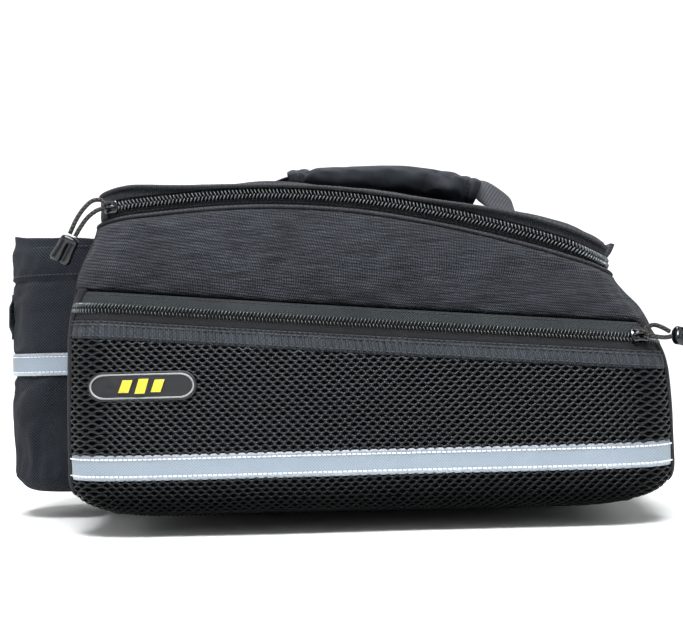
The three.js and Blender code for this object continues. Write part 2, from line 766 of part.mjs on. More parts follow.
// The lid: an upright skirt up to the seam, then a dome that is flat along the bag.
const lidCentreX = (frontReach(rimHeights[frontCornerStart]) - rearReach(rimHeights[cornerSteps])) / 2;
const seamAbove = (x) => lidZipHeight + lidSkirt(x);
function seamHeight(x) {
  return rimHeight(x) + seamAbove(x);
}
function domeHeight(point) {
  const reach = point.x > lidCentreX
    ? frontReach(rimHeights[frontCornerStart]) - lidCentreX + noseBow
    : rearReach(rimHeights[cornerSteps]) + lidCentreX + rearBow;
  const along = Math.min(Math.abs(point.x - lidCentreX) / reach, 1);
  const across = Math.min(Math.abs(point.y) / (halfWidth - topTaper), 1);
  const rise = lidCrownAt(point.x) * (1 - across ** 2.2) * Math.sqrt(1 - along ** 14);
  return seamHeight(point.x) + rise;
}
function lidRing(share, drop) {
  return allColumns.map((column) => {
    const point = overRim(column, 0);
    point.x = lidCentreX + (point.x - lidCentreX) * share;
    point.y *= share;
    point.z = domeHeight(point) - drop;
    return point;
  });
}
function lidGeometry() {
  const seamRing = () => allColumns.map((column) => {
    const point = overRim(column, lidZipHeight);
    point.z += lidSkirt(point.x);
    return point;
  });
  return ringSolid([
    ...[...lidOuterRings].reverse().map((share) => lidRing(share, 0)),
    seamRing(),
    allColumns.map((column) => overRim(column, lidZipHeight)),
    allColumns.map((column) => overRim(column, lidZipHeight, -lidWall)),
    ...lidInnerRings.map((share) => lidRing(share, lidWall)),
  ]);
}
addPiece('lid', lidGeometry(), fabric);

addPiece('lid_piping', pipingGeometry((column, up, out) => {
  const point = overRim(column, lidZipHeight, out);
  point.z += Math.max(lidSkirt(point.x), pipingSize / 2) - lidPipingDrop + pipingSize / 2 + up;
  return point;
}), webbing);

// The bottle pocket: an open-topped tube whose back wall follows the tub's rear face.
const rearMiddle = columnCount - Math.floor(endSteps / 2) - 1;
function rearFaceX(y, z) {
  const across = Math.min(Math.abs(y) / (sideReach(z) - cornerRadius), 1);
  return -rearReach(z) - rearBow * (1 - across * across);
}
function bottleRing(z, drawn, inward, rimRise = 0) {
  const share = (z - baseHeight - bottleBaseHeight) / (bottleHeight - bottleBaseHeight);
  const reach = halfLength + rearBow + bottleDepth * readTable(bottleBulge, share, 'height', 'reach');
  const half = bottleHalfWidth - drawn - inward;
  const ring = [];
  for (let i = 0; i <= bottleCurveSteps; i += 1) {
    const angle = Math.PI * (i / bottleCurveSteps - 0.5);
    const y = half * Math.sign(Math.sin(angle)) * Math.abs(Math.sin(angle)) ** bottleSquareness;
    const out = Math.max(Math.cos(angle), 0) ** bottleSquareness;
    const back = rearFaceX(y, z) - seatGap - inward;
    const x = THREE.MathUtils.lerp(back, drawn + inward - reach, out);
    ring.push(new THREE.Vector3(x, y, z + rimRise * out));
  }
  for (let i = 1; i < bottleBackSteps; i += 1) {
    const y = half * (1 - 2 * i / bottleBackSteps);
    ring.push(new THREE.Vector3(rearFaceX(y, z) - seatGap - inward, y, z));
  }
  return ring;
}
const bottleStripeLow = baseHeight + bottleStripeHeight;
const bottleStripeTop = bottleStripeLow + stripeWidth;
function bottleGeometry() {
  const low = baseHeight + bottleBaseHeight;
  const top = baseHeight + bottleHeight;
  const hem = top - bottleHemWidth;
  const tubRows = outerHeights(rearMiddle).filter((z) => z > bottleStripeTop + 1 && z < top - 1);
  const below = tubRows.filter((z) => z < hem - 1);
  const above = tubRows.filter((z) => z > hem + 1);
  const turned = (radius, start) => bottleTurns.map((turn) => (
    [start + radius * (1 - Math.cos(turn)), radius * (1 - Math.sin(turn))]));
  return ringSolid([
    ...turned(bottleUnderRadius, low).map(([z, drawn]) => bottleRing(z, drawn, 0)),
    ...[low + bottleUnderRadius, bottleStripeLow, bottleStripeTop, ...below, hem]
      .map((z) => bottleRing(z, 0, 0)),
    ...[hem + seatGap, ...above].map((z) => bottleRing(z, -bottleHemProud, 0)),
    bottleRing(top, -bottleHemProud, 0, bottleTopRise),
    bottleRing(top, 0, bottleWall, bottleTopRise),
    ...[...above, ...below].sort((a, b) => b - a).map((z) => bottleRing(z, 0, bottleWall)),
    bottleRing(low + bottleUnderRadius, 0, bottleWall),
    ...turned(bottleUnderRadius - bottleWall, low + bottleWall).reverse().slice(0, 2)
      .map(([z, drawn]) => bottleRing(z, drawn, bottleWall)),
  ]);
}
addPiece('bottle_pocket', bottleGeometry(), fabric);

// The bottle pocket's stripe, upright all round, with the outline that the pocket has at its top edge.
function bottleStripeGeometry() {
  const ring = bottleRing(bottleStripeTop, 0, 0);
  const outline = (lift) => Array.from({ length: bottleCurveSteps - 1 }, (_, i) => {
    const along = ring[i + 2].clone().sub(ring[i]).normalize();
    return ring[i + 1].clone().addScaledVector(new THREE.Vector3(-along.y, along.x, 0), lift);
  });
  const grid = (lift) => [bottleStripeLow, bottleStripeTop].map((z) => (
    outline(lift).map((point) => point.clone().setZ(z))));
  return skinSolid(grid(seatGap + stripeThickness), grid(seatGap));
}
addPiece('bottle_stripe', bottleStripeGeometry(), reflective);

// A strip of rectangular section along a route of points in the plane of the bag's length and height.
function webbingGeometry(route, width, thickness, ends = 1) {
  const across = new THREE.Vector3(0, 1, 0);
  return ringSolid(route.map((point, i) => {
    const ahead = route[Math.min(i + 1, route.length - 1)];
    const behind = route[Math.max(i - 1, 0)];
    const along = ahead.clone().sub(behind).normalize();
    const up = along.clone().cross(across).normalize();
    const narrow = i === 0 || i === route.length - 1 ? ends : 1;
    return [[-1, -1], [1, -1], [1, 1], [-1, 1]].map(([side, level]) => (
      point.clone().addScaledVector(across, side * narrow * width / 2)
        .addScaledVector(up, level * thickness / 2)));
  }));
}

// The light loop on the bottle pocket: flat webbing sewn at both ends, slack between.
function lightLoopGeometry() {
  const half = lightLoopHeight / 2;
  const middle = bottleCurveSteps / 2;
  const rings = [bottleStripeTop, ...outerHeights(rearMiddle).filter((z) => z > bottleStripeTop + 1)]
    .map((z) => bottleRing(z, 0, 0)[middle]);
  const faceX = (z) => {
    const i = Math.max(rings.findLastIndex((point) => point.z <= z), 0);
    return THREE.MathUtils.mapLinear(z, rings[i].z, rings[i + 1].z, rings[i].x, rings[i + 1].x);
  };
  const stations = [[-1, 0], [-0.72, 0], [-0.5, 0.7], [0, 1], [0.5, 0.7], [0.72, 0], [1, 0]];
  const route = stations.map(([along, slack]) => {
    const z = baseHeight + lightLoopCentreHeight + along * half;
    const out = seatGap + lightLoopThickness / 2 + slack * lightLoopSlack;
    return new THREE.Vector3(faceX(z) - out, 0, z);
  });
  return webbingGeometry(route, lightLoopWidth, lightLoopThickness);
}
addPiece('light_loop', lightLoopGeometry(), webbing);

// The lid's crown line as its facets make it, from the middles of its rings' ends.
const noseMiddle = frontCornerStart + cornerSteps + Math.floor(endSteps / 2);
const crownLine = [rearMiddle, noseMiddle].flatMap((column) => lidOuterRings.map((share) => {
  const ring = lidRing(share, 0);
  return ring[column].clone().lerp(ring[column + 1], 0.5);
})).sort((a, b) => a.x - b.x);
function crownHeight(x) {
  const found = crownLine.findLastIndex((point) => point.x <= x);
  const i = THREE.MathUtils.clamp(found, 0, crownLine.length - 2);
  const low = crownLine[i];
  const high = crownLine[i + 1];
  return Math.max(THREE.MathUtils.mapLinear(x, low.x, high.x, low.z, high.z),
    domeHeight(new THREE.Vector3(x, 0, 0)));
}

// Handle: one strap sewn to the lid at both ends, through the slot of a padded grip.
const halfStrap = strapLength / 2;
function strapPoint(along) {
  const x = strapCentreX + along * halfStrap;
  const rise = handleRise * readTable(strapProfile, along, 'along', 'rise');
  return new THREE.Vector3(x, 0, crownHeight(x) + seatGap + strapThickness / 2 + Math.max(rise, 0));
}
const gripShare = gripLength / strapLength;
const gripFrom = gripCentreShare - gripShare;
const gripTo = gripCentreShare + gripShare;
const gripStations = [0, 0.03, 0.14, 0.3, 0.5, 0.7, 0.86, 0.97, 1].map((share) => (
  THREE.MathUtils.lerp(gripFrom, gripTo, share)));
const strapStations = [...strapProfile.map((row) => row.along), ...gripStations]
  .sort((a, b) => a - b).filter((along, i, all) => i === 0 || along - all[i - 1] > 0.012);
addPiece('handle_strap', webbingGeometry(strapStations.map(strapPoint), strapWidth, strapThickness), webbing);

function gripGeometry() {
  const across = new THREE.Vector3(0, 1, 0);
  const endScale = [0.78, 0.95, 1, 1, 1, 1, 1, 0.95, 0.78];
  const ringsOf = (halfAcross, halfUp, power, scaled) => gripStations.map((along, i) => {
    const ahead = strapPoint(gripStations[Math.min(i + 1, gripStations.length - 1)]);
    const behind = strapPoint(gripStations[Math.max(i - 1, 0)]);
    const up = ahead.sub(behind).normalize().cross(across);
    const scale = scaled ? endScale[i] : 1;
    return ovalRing(strapPoint(along), across, up, halfAcross * scale, halfUp * scale, 12, power);
  });
  const slotCorner = 0.25;
  return ringSolid([
    ...ringsOf(gripWidth / 2, gripThickness / 2, 0.8, true),
    ...ringsOf(strapWidth / 2 + gripSlotPlay * 2, strapThickness / 2 + gripSlotPlay * 2, slotCorner, false)
      .reverse(),
  ], true);
}
addPiece('handle_grip', gripGeometry(), fabric);

// The nose tab, folded webbing sewn to the lid's skirt in the middle of the nose.
const noseFoot = overRim(noseMiddle, lidZipHeight).lerp(overRim(noseMiddle + 1, lidZipHeight), 0.5);
addPiece('front_tab', webbingGeometry(tabRoute.map(({ out, up }) => (
  new THREE.Vector3(noseFoot.x + out, 0, noseFoot.z + up))), tabWidth, tabThickness, 0.8), webbing);

// A zip slider on a chain: a waisted block that stands on the coil, facing outwards.
function sliderGeometry(seat, out) {
  const along = new THREE.Vector3(-out.y, out.x, 0).normalize();
  const up = out.clone().cross(along);
  return ringSolid(sliderLevels.map(({ share, scale }) => ovalRing(
    seat.clone().addScaledVector(out, seatGap + share * sliderThickness), along, up,
    scale * sliderLength / 2, scale * sliderWidth / 2, 8, 0.6)));
}

// A cord loop and its moulded end, placed from the middle of a slider's outer face.
function pullGeometries(eye, out, route) {
  const points = route.map(([along, off, up]) => {
    const step = new THREE.Vector3(along, 0, up);
    return step.addScaledVector(out, off - step.dot(out)).add(eye);
  });
  const circle = new THREE.Shape(Array.from({ length: 8 }, (_, i) => new THREE.Vector2(
    Math.cos(i * Math.PI / 4), Math.sin(i * Math.PI / 4)).multiplyScalar(pullCordDiameter / 2)));
  const cord = new THREE.ExtrudeGeometry(circle, {
    steps: cordSteps, bevelEnabled: false, extrudePath: new THREE.CatmullRomCurve3(points) });
  cord.deleteAttribute('uv');
  cord.deleteAttribute('normal');
  const [first, second] = points;
  const last = points.at(-1);
  const down = first.clone().sub(second).normalize().add(last.clone().sub(points.at(-2)).normalize())
    .normalize();
  const across = last.clone().sub(first);
  across.addScaledVector(down, -across.dot(down)).normalize();
  const flat = down.clone().cross(across);
  const reach = Math.max(first.dot(down), last.dot(down));
  const middle = first.clone().lerp(last, 0.5);
  const top = middle.addScaledVector(down, reach - middle.dot(down) + pullCordDiameter / 4 + seatGap);
  const end = ringSolid(pullEndLevels.map(({ share, wide, thick }) => ovalRing(
    top.clone().addScaledVector(down, share * pullEndLength), across, flat,
    wide * THREE.MathUtils.lerp(pullEndTopWidth, pullEndFootWidth, share) / 2,
    thick * pullEndThickness / 2, 10, 0.7)));
  return { cord: mergeVertices(cord, 1e-4), end };
}

// The lid zip's slider is parked at the near rear corner.
const lidSliderColumn = lidZipStart + 0.5;
const lidSliderOut = facing(lidSliderColumn);
const lidSliderSeat = overRim(lidSliderColumn, lidChainAboveRim, chainProud - tapeRecess);
addPiece('lid_slider', sliderGeometry(lidSliderSeat, lidSliderOut), moulded);
const lidEye = lidSliderSeat.clone().addScaledVector(lidSliderOut, seatGap + sliderThickness);
const lidPull = pullGeometries(lidEye, lidSliderOut, lidPullRoute);
addPiece('lid_pull_cord', lidPull.cord, webbing);
addPiece('lid_pull_end', lidPull.end, moulded);

// Each pocket zip's slider is closed against the nose and lies flat on the leaning chain.
const pocketSliderColumn = pocketEnd - 1.45;
const onChain = (turn, rise) => onPocket(pocketSliderColumn + turn, pocketRow.chainLow + 0.5 + rise,
  seatGap + pocketTapeThickness + pocketChainProud);
const chainAlong = onChain(0.3, 0).sub(onChain(-0.3, 0));
const pocketSliderOut = chainAlong.cross(onChain(0, 0.3).sub(onChain(0, -0.3))).normalize();
const pocketSliderSeat = onChain(0, 0);
addPair('pocket_slider', sliderGeometry(pocketSliderSeat, pocketSliderOut), moulded);
const pocketEye = pocketSliderSeat.clone().addScaledVector(pocketSliderOut, seatGap + sliderThickness);
const pocketPull = pullGeometries(pocketEye, pocketSliderOut, pocketPullRoute);
addPair('pocket_pull_cord', pocketPull.cord, webbing);
addPair('pocket_pull_end', pocketPull.end, moulded);

export default bag;
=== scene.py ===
import math

import bpy
import numpy as np
from mathutils import Matrix, Vector


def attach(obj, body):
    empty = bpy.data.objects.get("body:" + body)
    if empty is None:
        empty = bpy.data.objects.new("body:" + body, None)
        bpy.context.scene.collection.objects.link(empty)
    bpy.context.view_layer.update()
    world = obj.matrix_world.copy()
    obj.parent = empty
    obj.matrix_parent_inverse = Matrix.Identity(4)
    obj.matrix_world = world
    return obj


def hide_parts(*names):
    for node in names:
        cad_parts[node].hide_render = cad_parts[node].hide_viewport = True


# A padded bicycle trunk bag: nose towards +X, bottle pocket towards -X, photographed side towards -Y.
# Shapes are worked out in millimetres and put into the meshes in metres.
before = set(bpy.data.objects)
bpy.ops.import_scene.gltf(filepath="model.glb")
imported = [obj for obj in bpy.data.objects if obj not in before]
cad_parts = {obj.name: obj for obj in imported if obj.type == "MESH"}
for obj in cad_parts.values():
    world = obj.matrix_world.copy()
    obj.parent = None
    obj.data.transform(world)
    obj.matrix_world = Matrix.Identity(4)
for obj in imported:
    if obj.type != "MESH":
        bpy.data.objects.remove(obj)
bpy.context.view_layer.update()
mm = 0.001
print("frame loaded:", len(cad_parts), "nodes")


def placeObject(name, data):
    made = bpy.data.objects.new(name, data)
    bpy.context.scene.collection.objects.link(made)
    return made


# ---- camera: level with the bag's side, turned up and rolled a little as the photograph is
cameraPlace = {"location": (-16.0, -722.0, 111.9), "pitch": 2.31, "roll": 1.5, "lens": 52.27}


def makeCamera(s):
    data = bpy.data.cameras.new("camera")
    data.lens, data.sensor_width = s["lens"], 36.0
    data.clip_start, data.clip_end = 0.01, 60.0
    camera = placeObject("camera", data)
    turn = (Matrix.Rotation(math.radians(90 + s["pitch"]), 4, "X")
            @ Matrix.Rotation(math.radians(-s["roll"]), 4, "Z"))
    camera.matrix_world = Matrix.Translation(Vector(s["location"]) * mm) @ turn
    bpy.context.scene.camera = camera


makeCamera(cameraPlace)

# ---- the bag's measures, as in the solids
bag = {
    "halfLength": 191.0, "halfWidth": 98.0, "height": 194.5, "base": 12.05, "corner": 30.0,
    "endUnder": 42.0, "sideUnder": 8.0, "noseBow": 8.0, "rearBow": 3.0, "taper": 6.0, "gap": 0.35,
}
endTable = np.array([  # height share, rear reach, front reach; the cloth's nose is drawn in near the rim
    (0.0, 1.0, 1.0), (0.45, 1.0, 0.995), (0.555, 1.0, 0.965), (0.632, 0.999, 0.925),
    (0.684, 0.995, 0.877), (0.73, 0.989, 0.843), (0.81, 0.967, 0.831), (0.915, 0.921, 0.828),
    (1.0, 0.905, 0.828)])
rimTable = np.array([  # along, rim height share
    (-1.0, 0.945), (-0.76, 0.978), (-0.38, 1.0), (-0.05, 0.979), (0.25, 0.924), (0.56, 0.842),
    (0.82, 0.756), (1.0, 0.695)])
lidTable = np.array([  # along, skirt share, crown share
    (-1.0, 0.85, 0.62), (-0.78, 0.7, 0.58), (-0.6, 0.3, 0.61), (-0.4, 0.12, 0.63), (0.15, 0.12, 0.64),
    (0.5, 0.55, 0.76), (0.73, 0.6, 0.92), (1.0, 0.4, 0.95)])
turnMarks = np.array([0, 4, 13, 17, 22, 26, 35, 39, 44], float)  # where corners and sides meet
wholeRound, mirrorSum = 44.0, 39.0  # columns in a whole turn; a column and its mirror image add up to 39
upward, sideward = np.array([0, 0, 1.0]), np.array([0, 1.0, 0])


def unit(v):
    return v / np.maximum(np.linalg.norm(v, axis=-1, keepdims=True), 1e-9)


# lengths from a line's start to each of its points
def lengthsOf(line):
    return np.r_[0, np.cumsum(np.linalg.norm(np.diff(line, axis=0), axis=1))]


def turnsOf(count):
    return np.arange(count) * 2 * np.pi / count


# a cosine or a sine drawn out towards a square by a power under one
def squared(value, power):
    return np.sign(value) * np.abs(value) ** power


# value = cubic through the table's rows, with each row's slope from its neighbours
def smoothAt(at, table, column=1):
    keys, values = table[:, 0], table[:, column]
    at = np.clip(at, keys[0], keys[-1])
    i = np.clip(np.searchsorted(keys, at) - 1, 0, len(keys) - 2)
    slopes = np.empty(len(keys))
    slopes[1:-1] = (values[2:] - values[:-2]) / (keys[2:] - keys[:-2])
    slopes[0] = (values[1] - values[0]) / (keys[1] - keys[0])
    slopes[-1] = (values[-1] - values[-2]) / (keys[-1] - keys[-2])
    span = keys[i + 1] - keys[i]
    t = (at - keys[i]) / span
    r = 1 - t
    return (values[i] * (1 + 2 * t) * r * r + slopes[i] * span * t * r * r
            + values[i + 1] * t * t * (3 - 2 * t) - slopes[i + 1] * span * t * t * r)


def heightShare(z):
    return (z - bag["base"]) / bag["height"]


# the direction that a place round the bag faces
def facing(u):
    degrees = [180, 270, 270, 360, 360, 450, 450, 540, 540]
    angle = np.radians(np.interp(np.mod(u, wholeRound), turnMarks, degrees))
    return np.cos(angle), np.sin(angle)


def faceOut(u):
    return np.stack([*facing(u), 0 * u], -1)


def halfWidthAt(share):
    return bag["halfWidth"] - bag["taper"] * np.maximum(0, (share - 0.6) / 0.4) ** 2


# wall = corner centre + corner radius along the facing + bow of the two ends
def wall(u, z, outward=0.0):
    u = np.mod(np.asarray(u, float), wholeRound)
    u, z, outward = np.broadcast_arrays(u, np.asarray(z, float), outward)
    share = heightShare(z)
    rear = bag["halfLength"] * smoothAt(share, endTable, 1)
    front = bag["halfLength"] * smoothAt(share, endTable, 2)
    side = halfWidthAt(share)
    fx, fy = facing(u)
    r = bag["corner"]
    along = np.interp(u, turnMarks, [0, 0, 1, 1, 1, 1, 0, 0, 0])
    across = np.interp(u, turnMarks, [-1, -1, -1, -1, 1, 1, 1, 1, -1])
    swell = (1 - across ** 2) ** 1.3
    bow = (np.where((u > 17) & (u < 22), bag["noseBow"] * swell, 0)
           - np.where(u > 39, bag["rearBow"] * swell, 0))
    x = (r - rear) * (1 - along) + (front - r) * along + fx * (r + outward) + bow
    y = across * (side - r) + fy * (r + outward)
    return np.stack([x, y, z + 0 * x], -1)


def rimHeight(x):
    return bag["base"] + bag["height"] * smoothAt(x / bag["halfLength"], rimTable)


def rimAt(u):
    z = np.full(np.shape(u), bag["base"] + 0.9 * bag["height"])
    for _ in range(40):
        z = (z + rimHeight(wall(u, z)[..., 0])) / 2
    return z


# the cloth over the rim is drawn in at the two nose corners, and the lid's edge at the two rear ones
cornerDraw = {"spread": 1.9, "nose": 14.8, "noseIn": 4.5, "noseRise": 3.0, "rear": 2.0, "rearIn": 3.0}


# drawn in = a smooth bump at each of two mirrored corners, at column first and at its mirror image
def drawnIn(u, first, amount):
    half = wholeRound / 2
    away = [np.mod(u - place + half, wholeRound) - half for place in (first, mirrorSum - first)]
    return amount * sum(np.exp(-(d / cornerDraw["spread"]) ** 2) for d in away)


def noseLean(u, above):
    amount = drawnIn(u, cornerDraw["nose"], cornerDraw["noseIn"])
    return amount * np.clip(above / cornerDraw["noseRise"], 0, 1)


def rearLean(u):
    return drawnIn(u, cornerDraw["rear"], cornerDraw["rearIn"])


def overRim(u, above, outward=0.0):
    point = wall(u, rimAt(u), outward)
    point[..., 0] -= noseLean(u, above)
    point[..., 2] += above
    return point


def underRadius(u):
    return bag["sideUnder"] + (bag["endUnder"] - bag["sideUnder"]) * facing(u)[0] ** 2


# onBody = wall, drawn in over the rounded underside by 1 - sqrt(1 - down^2) of the two under radii
def onBody(u, z, lift):
    u, z, lift = np.broadcast_arrays(u, z, lift)
    point = wall(u, z, lift)
    fx, fy = facing(u)
    down = np.clip(1 - (z - bag["base"]) / underRadius(u), 0, 1)
    share = 1 - np.sqrt(1 - down ** 2)
    point[..., 0] -= fx * share * bag["endUnder"]
    point[..., 1] -= fy * share * bag["sideUnder"]
    return point


# length round the bag at mid height, for patterns that follow the cloth
roundMarks = np.linspace(0, wholeRound, 881)
roundPoints = wall(roundMarks, bag["base"] + 0.45 * bag["height"])
roundLengths = lengthsOf(roundPoints)


def lengthRound(u):
    return np.interp(u, roundMarks, roundLengths)


# ---- meshes from grids
def gridNormals(p):
    return unit(np.cross(np.gradient(p, axis=1), np.gradient(p, axis=0)))


def gridQuads(rows, columns, closedColumns=False, closedRows=False, start=0):
    i = np.arange(rows if closedRows else rows - 1)[:, None]
    j = np.arange(columns if closedColumns else columns - 1)[None, :]
    i2, j2 = (i + 1) % rows, (j + 1) % columns
    corners = [i * columns + j, i * columns + j2, i2 * columns + j2, i2 * columns + j]
    return start + np.stack(corners, -1).reshape(-1, 4)


# cloth coordinates of a grid = a measure across and a measure along
def clothUv(across, along):
    return np.stack(np.broadcast_arrays(across, along), -1)


# six times the volume inside = sum of each triangle's a . (b x c)
def insideVolume(points, quads):
    a, b, c, d = (points[quads[:, k]] for k in range(4))
    return np.einsum("ij,ij->", a, np.cross(b, c)) + np.einsum("ij,ij->", a, np.cross(c, d))


finished = []


def addPiece(name, points, quads, material, uv=None, caps=(), replaces=(), slot=None, sharp=None, fill=None):
    points = points.reshape(-1, 3)
    if insideVolume(points, quads) < 0:
        quads = quads[:, ::-1]
        caps = [cap[::-1] for cap in caps]
    mesh = bpy.data.meshes.new(name)
    mesh.from_pydata((points * mm).tolist(), [], quads.tolist() + [list(map(int, cap)) for cap in caps])
    if uv is not None:
        layer = mesh.uv_layers.new(name="cloth")
        corners = np.empty(len(mesh.loops), np.int32)
        mesh.loops.foreach_get("vertex_index", corners)
        layer.data.foreach_set("uv", uv.reshape(-1, 2)[corners].astype(np.float32).ravel())
    mesh.materials.append(material)
    mesh.shade_smooth()
    if sharp:
        mesh.set_sharp_from_angle(angle=math.radians(sharp))
    piece = placeObject(name, mesh)
    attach(piece, "root")
    if replaces:
        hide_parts(*replaces)
    finished.append(piece)
    return piece


# a closed skin between an outer grid and an inner one
def addSkin(name, outer, material, inner, uv=None, **rest):
    rows, columns = outer.shape[:2]
    quads = [gridQuads(rows, columns), gridQuads(rows, columns, start=rows * columns)[:, ::-1]]
    edge = np.concatenate([np.arange(columns), np.arange(1, rows) * columns + columns - 1,
                           (rows - 1) * columns + np.arange(columns - 2, -1, -1),
                           np.arange(rows - 2, 0, -1) * columns])
    after = np.roll(edge, -1)
    quads.append(np.stack([edge, edge + rows * columns, after + rows * columns, after], -1))
    points = np.concatenate([outer.reshape(-1, 3), inner.reshape(-1, 3)])
    if uv is not None:
        uv = np.concatenate([uv.reshape(-1, 2), uv.reshape(-1, 2)])
    return addPiece(name, points, np.concatenate(quads), material, uv=uv, **rest)


# rings of points joined one to the next, with flat ends or closed on itself
def addTube(name, rings, material, uv=None, looped=False, **rest):
    rows, columns = rings.shape[:2]
    caps = [] if looped else [np.arange(columns)[::-1], (rows - 1) * columns + np.arange(columns)]
    quads = gridQuads(rows, columns, closedColumns=True, closedRows=looped)
    return addPiece(name, rings, quads, material, uv=uv, caps=caps, **rest)


def mirror(points):
    return points * np.array([1.0, -1.0, 1.0])


# many small bars: each follows its own profile of (along, side, rise, radius) in a frame of three axes
def barRings(origins, along, side, rise, profile, sides):
    a, s, r, radius = np.array(profile).T[:, None, :, None]
    centres = origins[:, None] + along[:, None] * a + side[:, None] * s + rise[:, None] * r
    turn = (np.arange(sides) + 0.5) * 2 * np.pi / sides
    ring = (side[:, None, None] * np.cos(turn)[None, None, :, None]
            + rise[:, None, None] * np.sin(turn)[None, None, :, None])
    return centres[:, :, None] + ring * radius[:, :, None]


def addBars(name, rings, material, **rest):
    count, rows, sides = rings.shape[:3]
    each = rows * sides
    quads = gridQuads(rows, sides, closedColumns=True)
    every = (quads[None] + (np.arange(count) * each)[:, None, None]).reshape(-1, 4)
    ends = [list(range(k * each, k * each + sides))[::-1] for k in range(count)]
    ends += [list(range(k * each + each - sides, k * each + each)) for k in range(count)]
    return addPiece(name, rings, every, material, caps=ends, **rest)


# places at even lengths along a line, with the line's own direction, its side and its normal there;
# side = one direction for the whole line or one for each of its points
def evenPlaces(line, side, pitch, margin=0.0):
    length = lengthsOf(line)
    count = int((length[-1] - 2 * margin) // pitch)
    at = (length[-1] - (count - 1) * pitch) / 2 + np.arange(count) * pitch

    def pick(values):
        return np.stack([np.interp(at, length, values[:, k]) for k in range(3)], -1)

    way = unit(pick(np.gradient(line, axis=0)))
    normal = unit(np.cross(way, pick(np.broadcast_to(side, line.shape))))
    return pick(line), way, unit(np.cross(normal, way)), normal


# smooth unevenness from a few slow waves, the same each run
def uneven(x, y, size, seed):
    rng = np.random.default_rng(seed)
    total = 0.0
    for _ in range(7):
        angle, phase = rng.uniform(0, 2 * np.pi, 2)
        pace = 2 * np.pi / (size * rng.uniform(0.6, 1.7))
        total = total + np.sin((x * np.cos(angle) + y * np.sin(angle)) * pace + phase)
    return total / 3.5


# ---- padded cloth: a grid is simulated at a few millimetres and its movement is laid over the fine grid
def blend(values, at, axis):
    low = np.minimum(at.astype(int), values.shape[axis] - 2)
    share = (at - low).reshape([-1 if k == axis else 1 for k in range(3)])
    return np.take(values, low, axis) * (1 - share) + np.take(values, low + 1, axis) * share


def soften(values, radius, axis, closed):
    pad = [(radius, radius) if k == axis else (0, 0) for k in range(3)]
    wide = np.pad(values, pad, mode="wrap" if closed else "edge")
    total = sum(np.take(wide, np.arange(k, k + values.shape[axis]), axis) for k in range(2 * radius + 1))
    return total / (2 * radius + 1)


simulation = {"frames": 20, "quality": 6, "mass": 0.2}


# the grid after the simulation, with pressure behind the cloth and no gravity; grow = share of spare cloth
def simulate(coarse, hold, s, closed):
    mesh = bpy.data.meshes.new("draft")
    quads = gridQuads(coarse.shape[0], coarse.shape[1], closedColumns=closed)
    if s["flip"]:
        quads = quads[:, ::-1]
    mesh.from_pydata((coarse.reshape(-1, 3) * mm).tolist(), [], quads.tolist())
    draft = placeObject("draft", mesh)
    group = draft.vertex_groups.new(name="held")
    for k, weight in enumerate(hold.ravel()):
        group.add([k], float(weight), "REPLACE")
    modifier = draft.modifiers.new("cloth", "CLOTH")
    modifier.point_cache.frame_start, modifier.point_cache.frame_end = 1, simulation["frames"]
    settings = modifier.settings
    settings.quality, settings.mass = simulation["quality"], simulation["mass"]
    settings.tension_stiffness = settings.compression_stiffness = s["stiff"]
    settings.bending_stiffness = s["bend"]
    settings.vertex_group_mass, settings.shrink_min = "held", -s["grow"]
    settings.use_pressure, settings.uniform_pressure_force = True, s["pressure"]
    settings.effector_weights.gravity = 0.0
    scene = bpy.context.scene
    for frameNumber in range(1, simulation["frames"] + 1):
        scene.frame_set(frameNumber)
    result = draft.evaluated_get(bpy.context.evaluated_depsgraph_get()).data
    after = np.empty(len(result.vertices) * 3, np.float32)
    result.vertices.foreach_get("co", after)
    bpy.data.objects.remove(draft)
    bpy.data.meshes.remove(mesh)
    scene.frame_set(1)
    return after.reshape(coarse.shape).astype(float) / mm


# held = 1 where the cloth is sewn down and 0 where it is free; cap = the most that a point may move
def puff(grid, held, s, closed=False):
    rows, columns = grid.shape[:2]
    i = np.unique(np.linspace(0, rows - 1, s["rows"]).round().astype(int))
    whole = columns if closed else columns - 1
    j = np.unique(np.linspace(0, whole, s["columns"] + (1 if closed else 0)).round().astype(int))
    kept = j[:-1] if closed else j
    coarse, hold = grid[i][:, kept], np.clip(held, 0, 1)[i][:, kept]
    move = simulate(coarse, hold, s, closed) - coarse
    size = np.linalg.norm(move, axis=-1, keepdims=True)
    move = move * np.minimum(1, s["cap"] / np.maximum(size, 1e-6)) * (1 - hold[..., None])
    if closed:
        move = np.concatenate([move, move[:, :1]], 1)
    move = blend(blend(move, np.interp(np.arange(rows), i, np.arange(len(i))), 0),
                 np.interp(np.arange(columns), j, np.arange(len(j))), 1)
    reach = (max(1, rows // s["rows"] // 2), max(1, columns // s["columns"] // 2))
    move = soften(soften(move, reach[0], 0, False), reach[1], 1, closed)
    print("puffed:", s["name"], coarse.shape[0] * coarse.shape[1], "points, moved up to %.1f mm" % size.max())
    return grid + move


def edgeHeld(rows, columns, rowEdge, columnEdge):
    i = np.minimum(np.arange(rows), np.arange(rows)[::-1])[:, None] / rowEdge
    j = np.minimum(np.arange(columns), np.arange(columns)[::-1])[None, :] / columnEdge
    return 1 - np.clip(np.minimum(i, j), 0, 1) ** 0.7


# ---- materials
def addNode(tree, kind, **settings):
    node = tree.nodes.new(kind)
    for key, value in settings.items():
        setattr(node, key, value)
    return node


def join(tree, source, target):
    if hasattr(source, "node"):
        tree.links.new(source, target)
    else:
        target.default_value = source


def calc(tree, operation, a, b=0.0):
    node = addNode(tree, "ShaderNodeMath", operation=operation)
    join(tree, a, node.inputs[0])
    join(tree, b, node.inputs[1])
    return node.outputs[0]


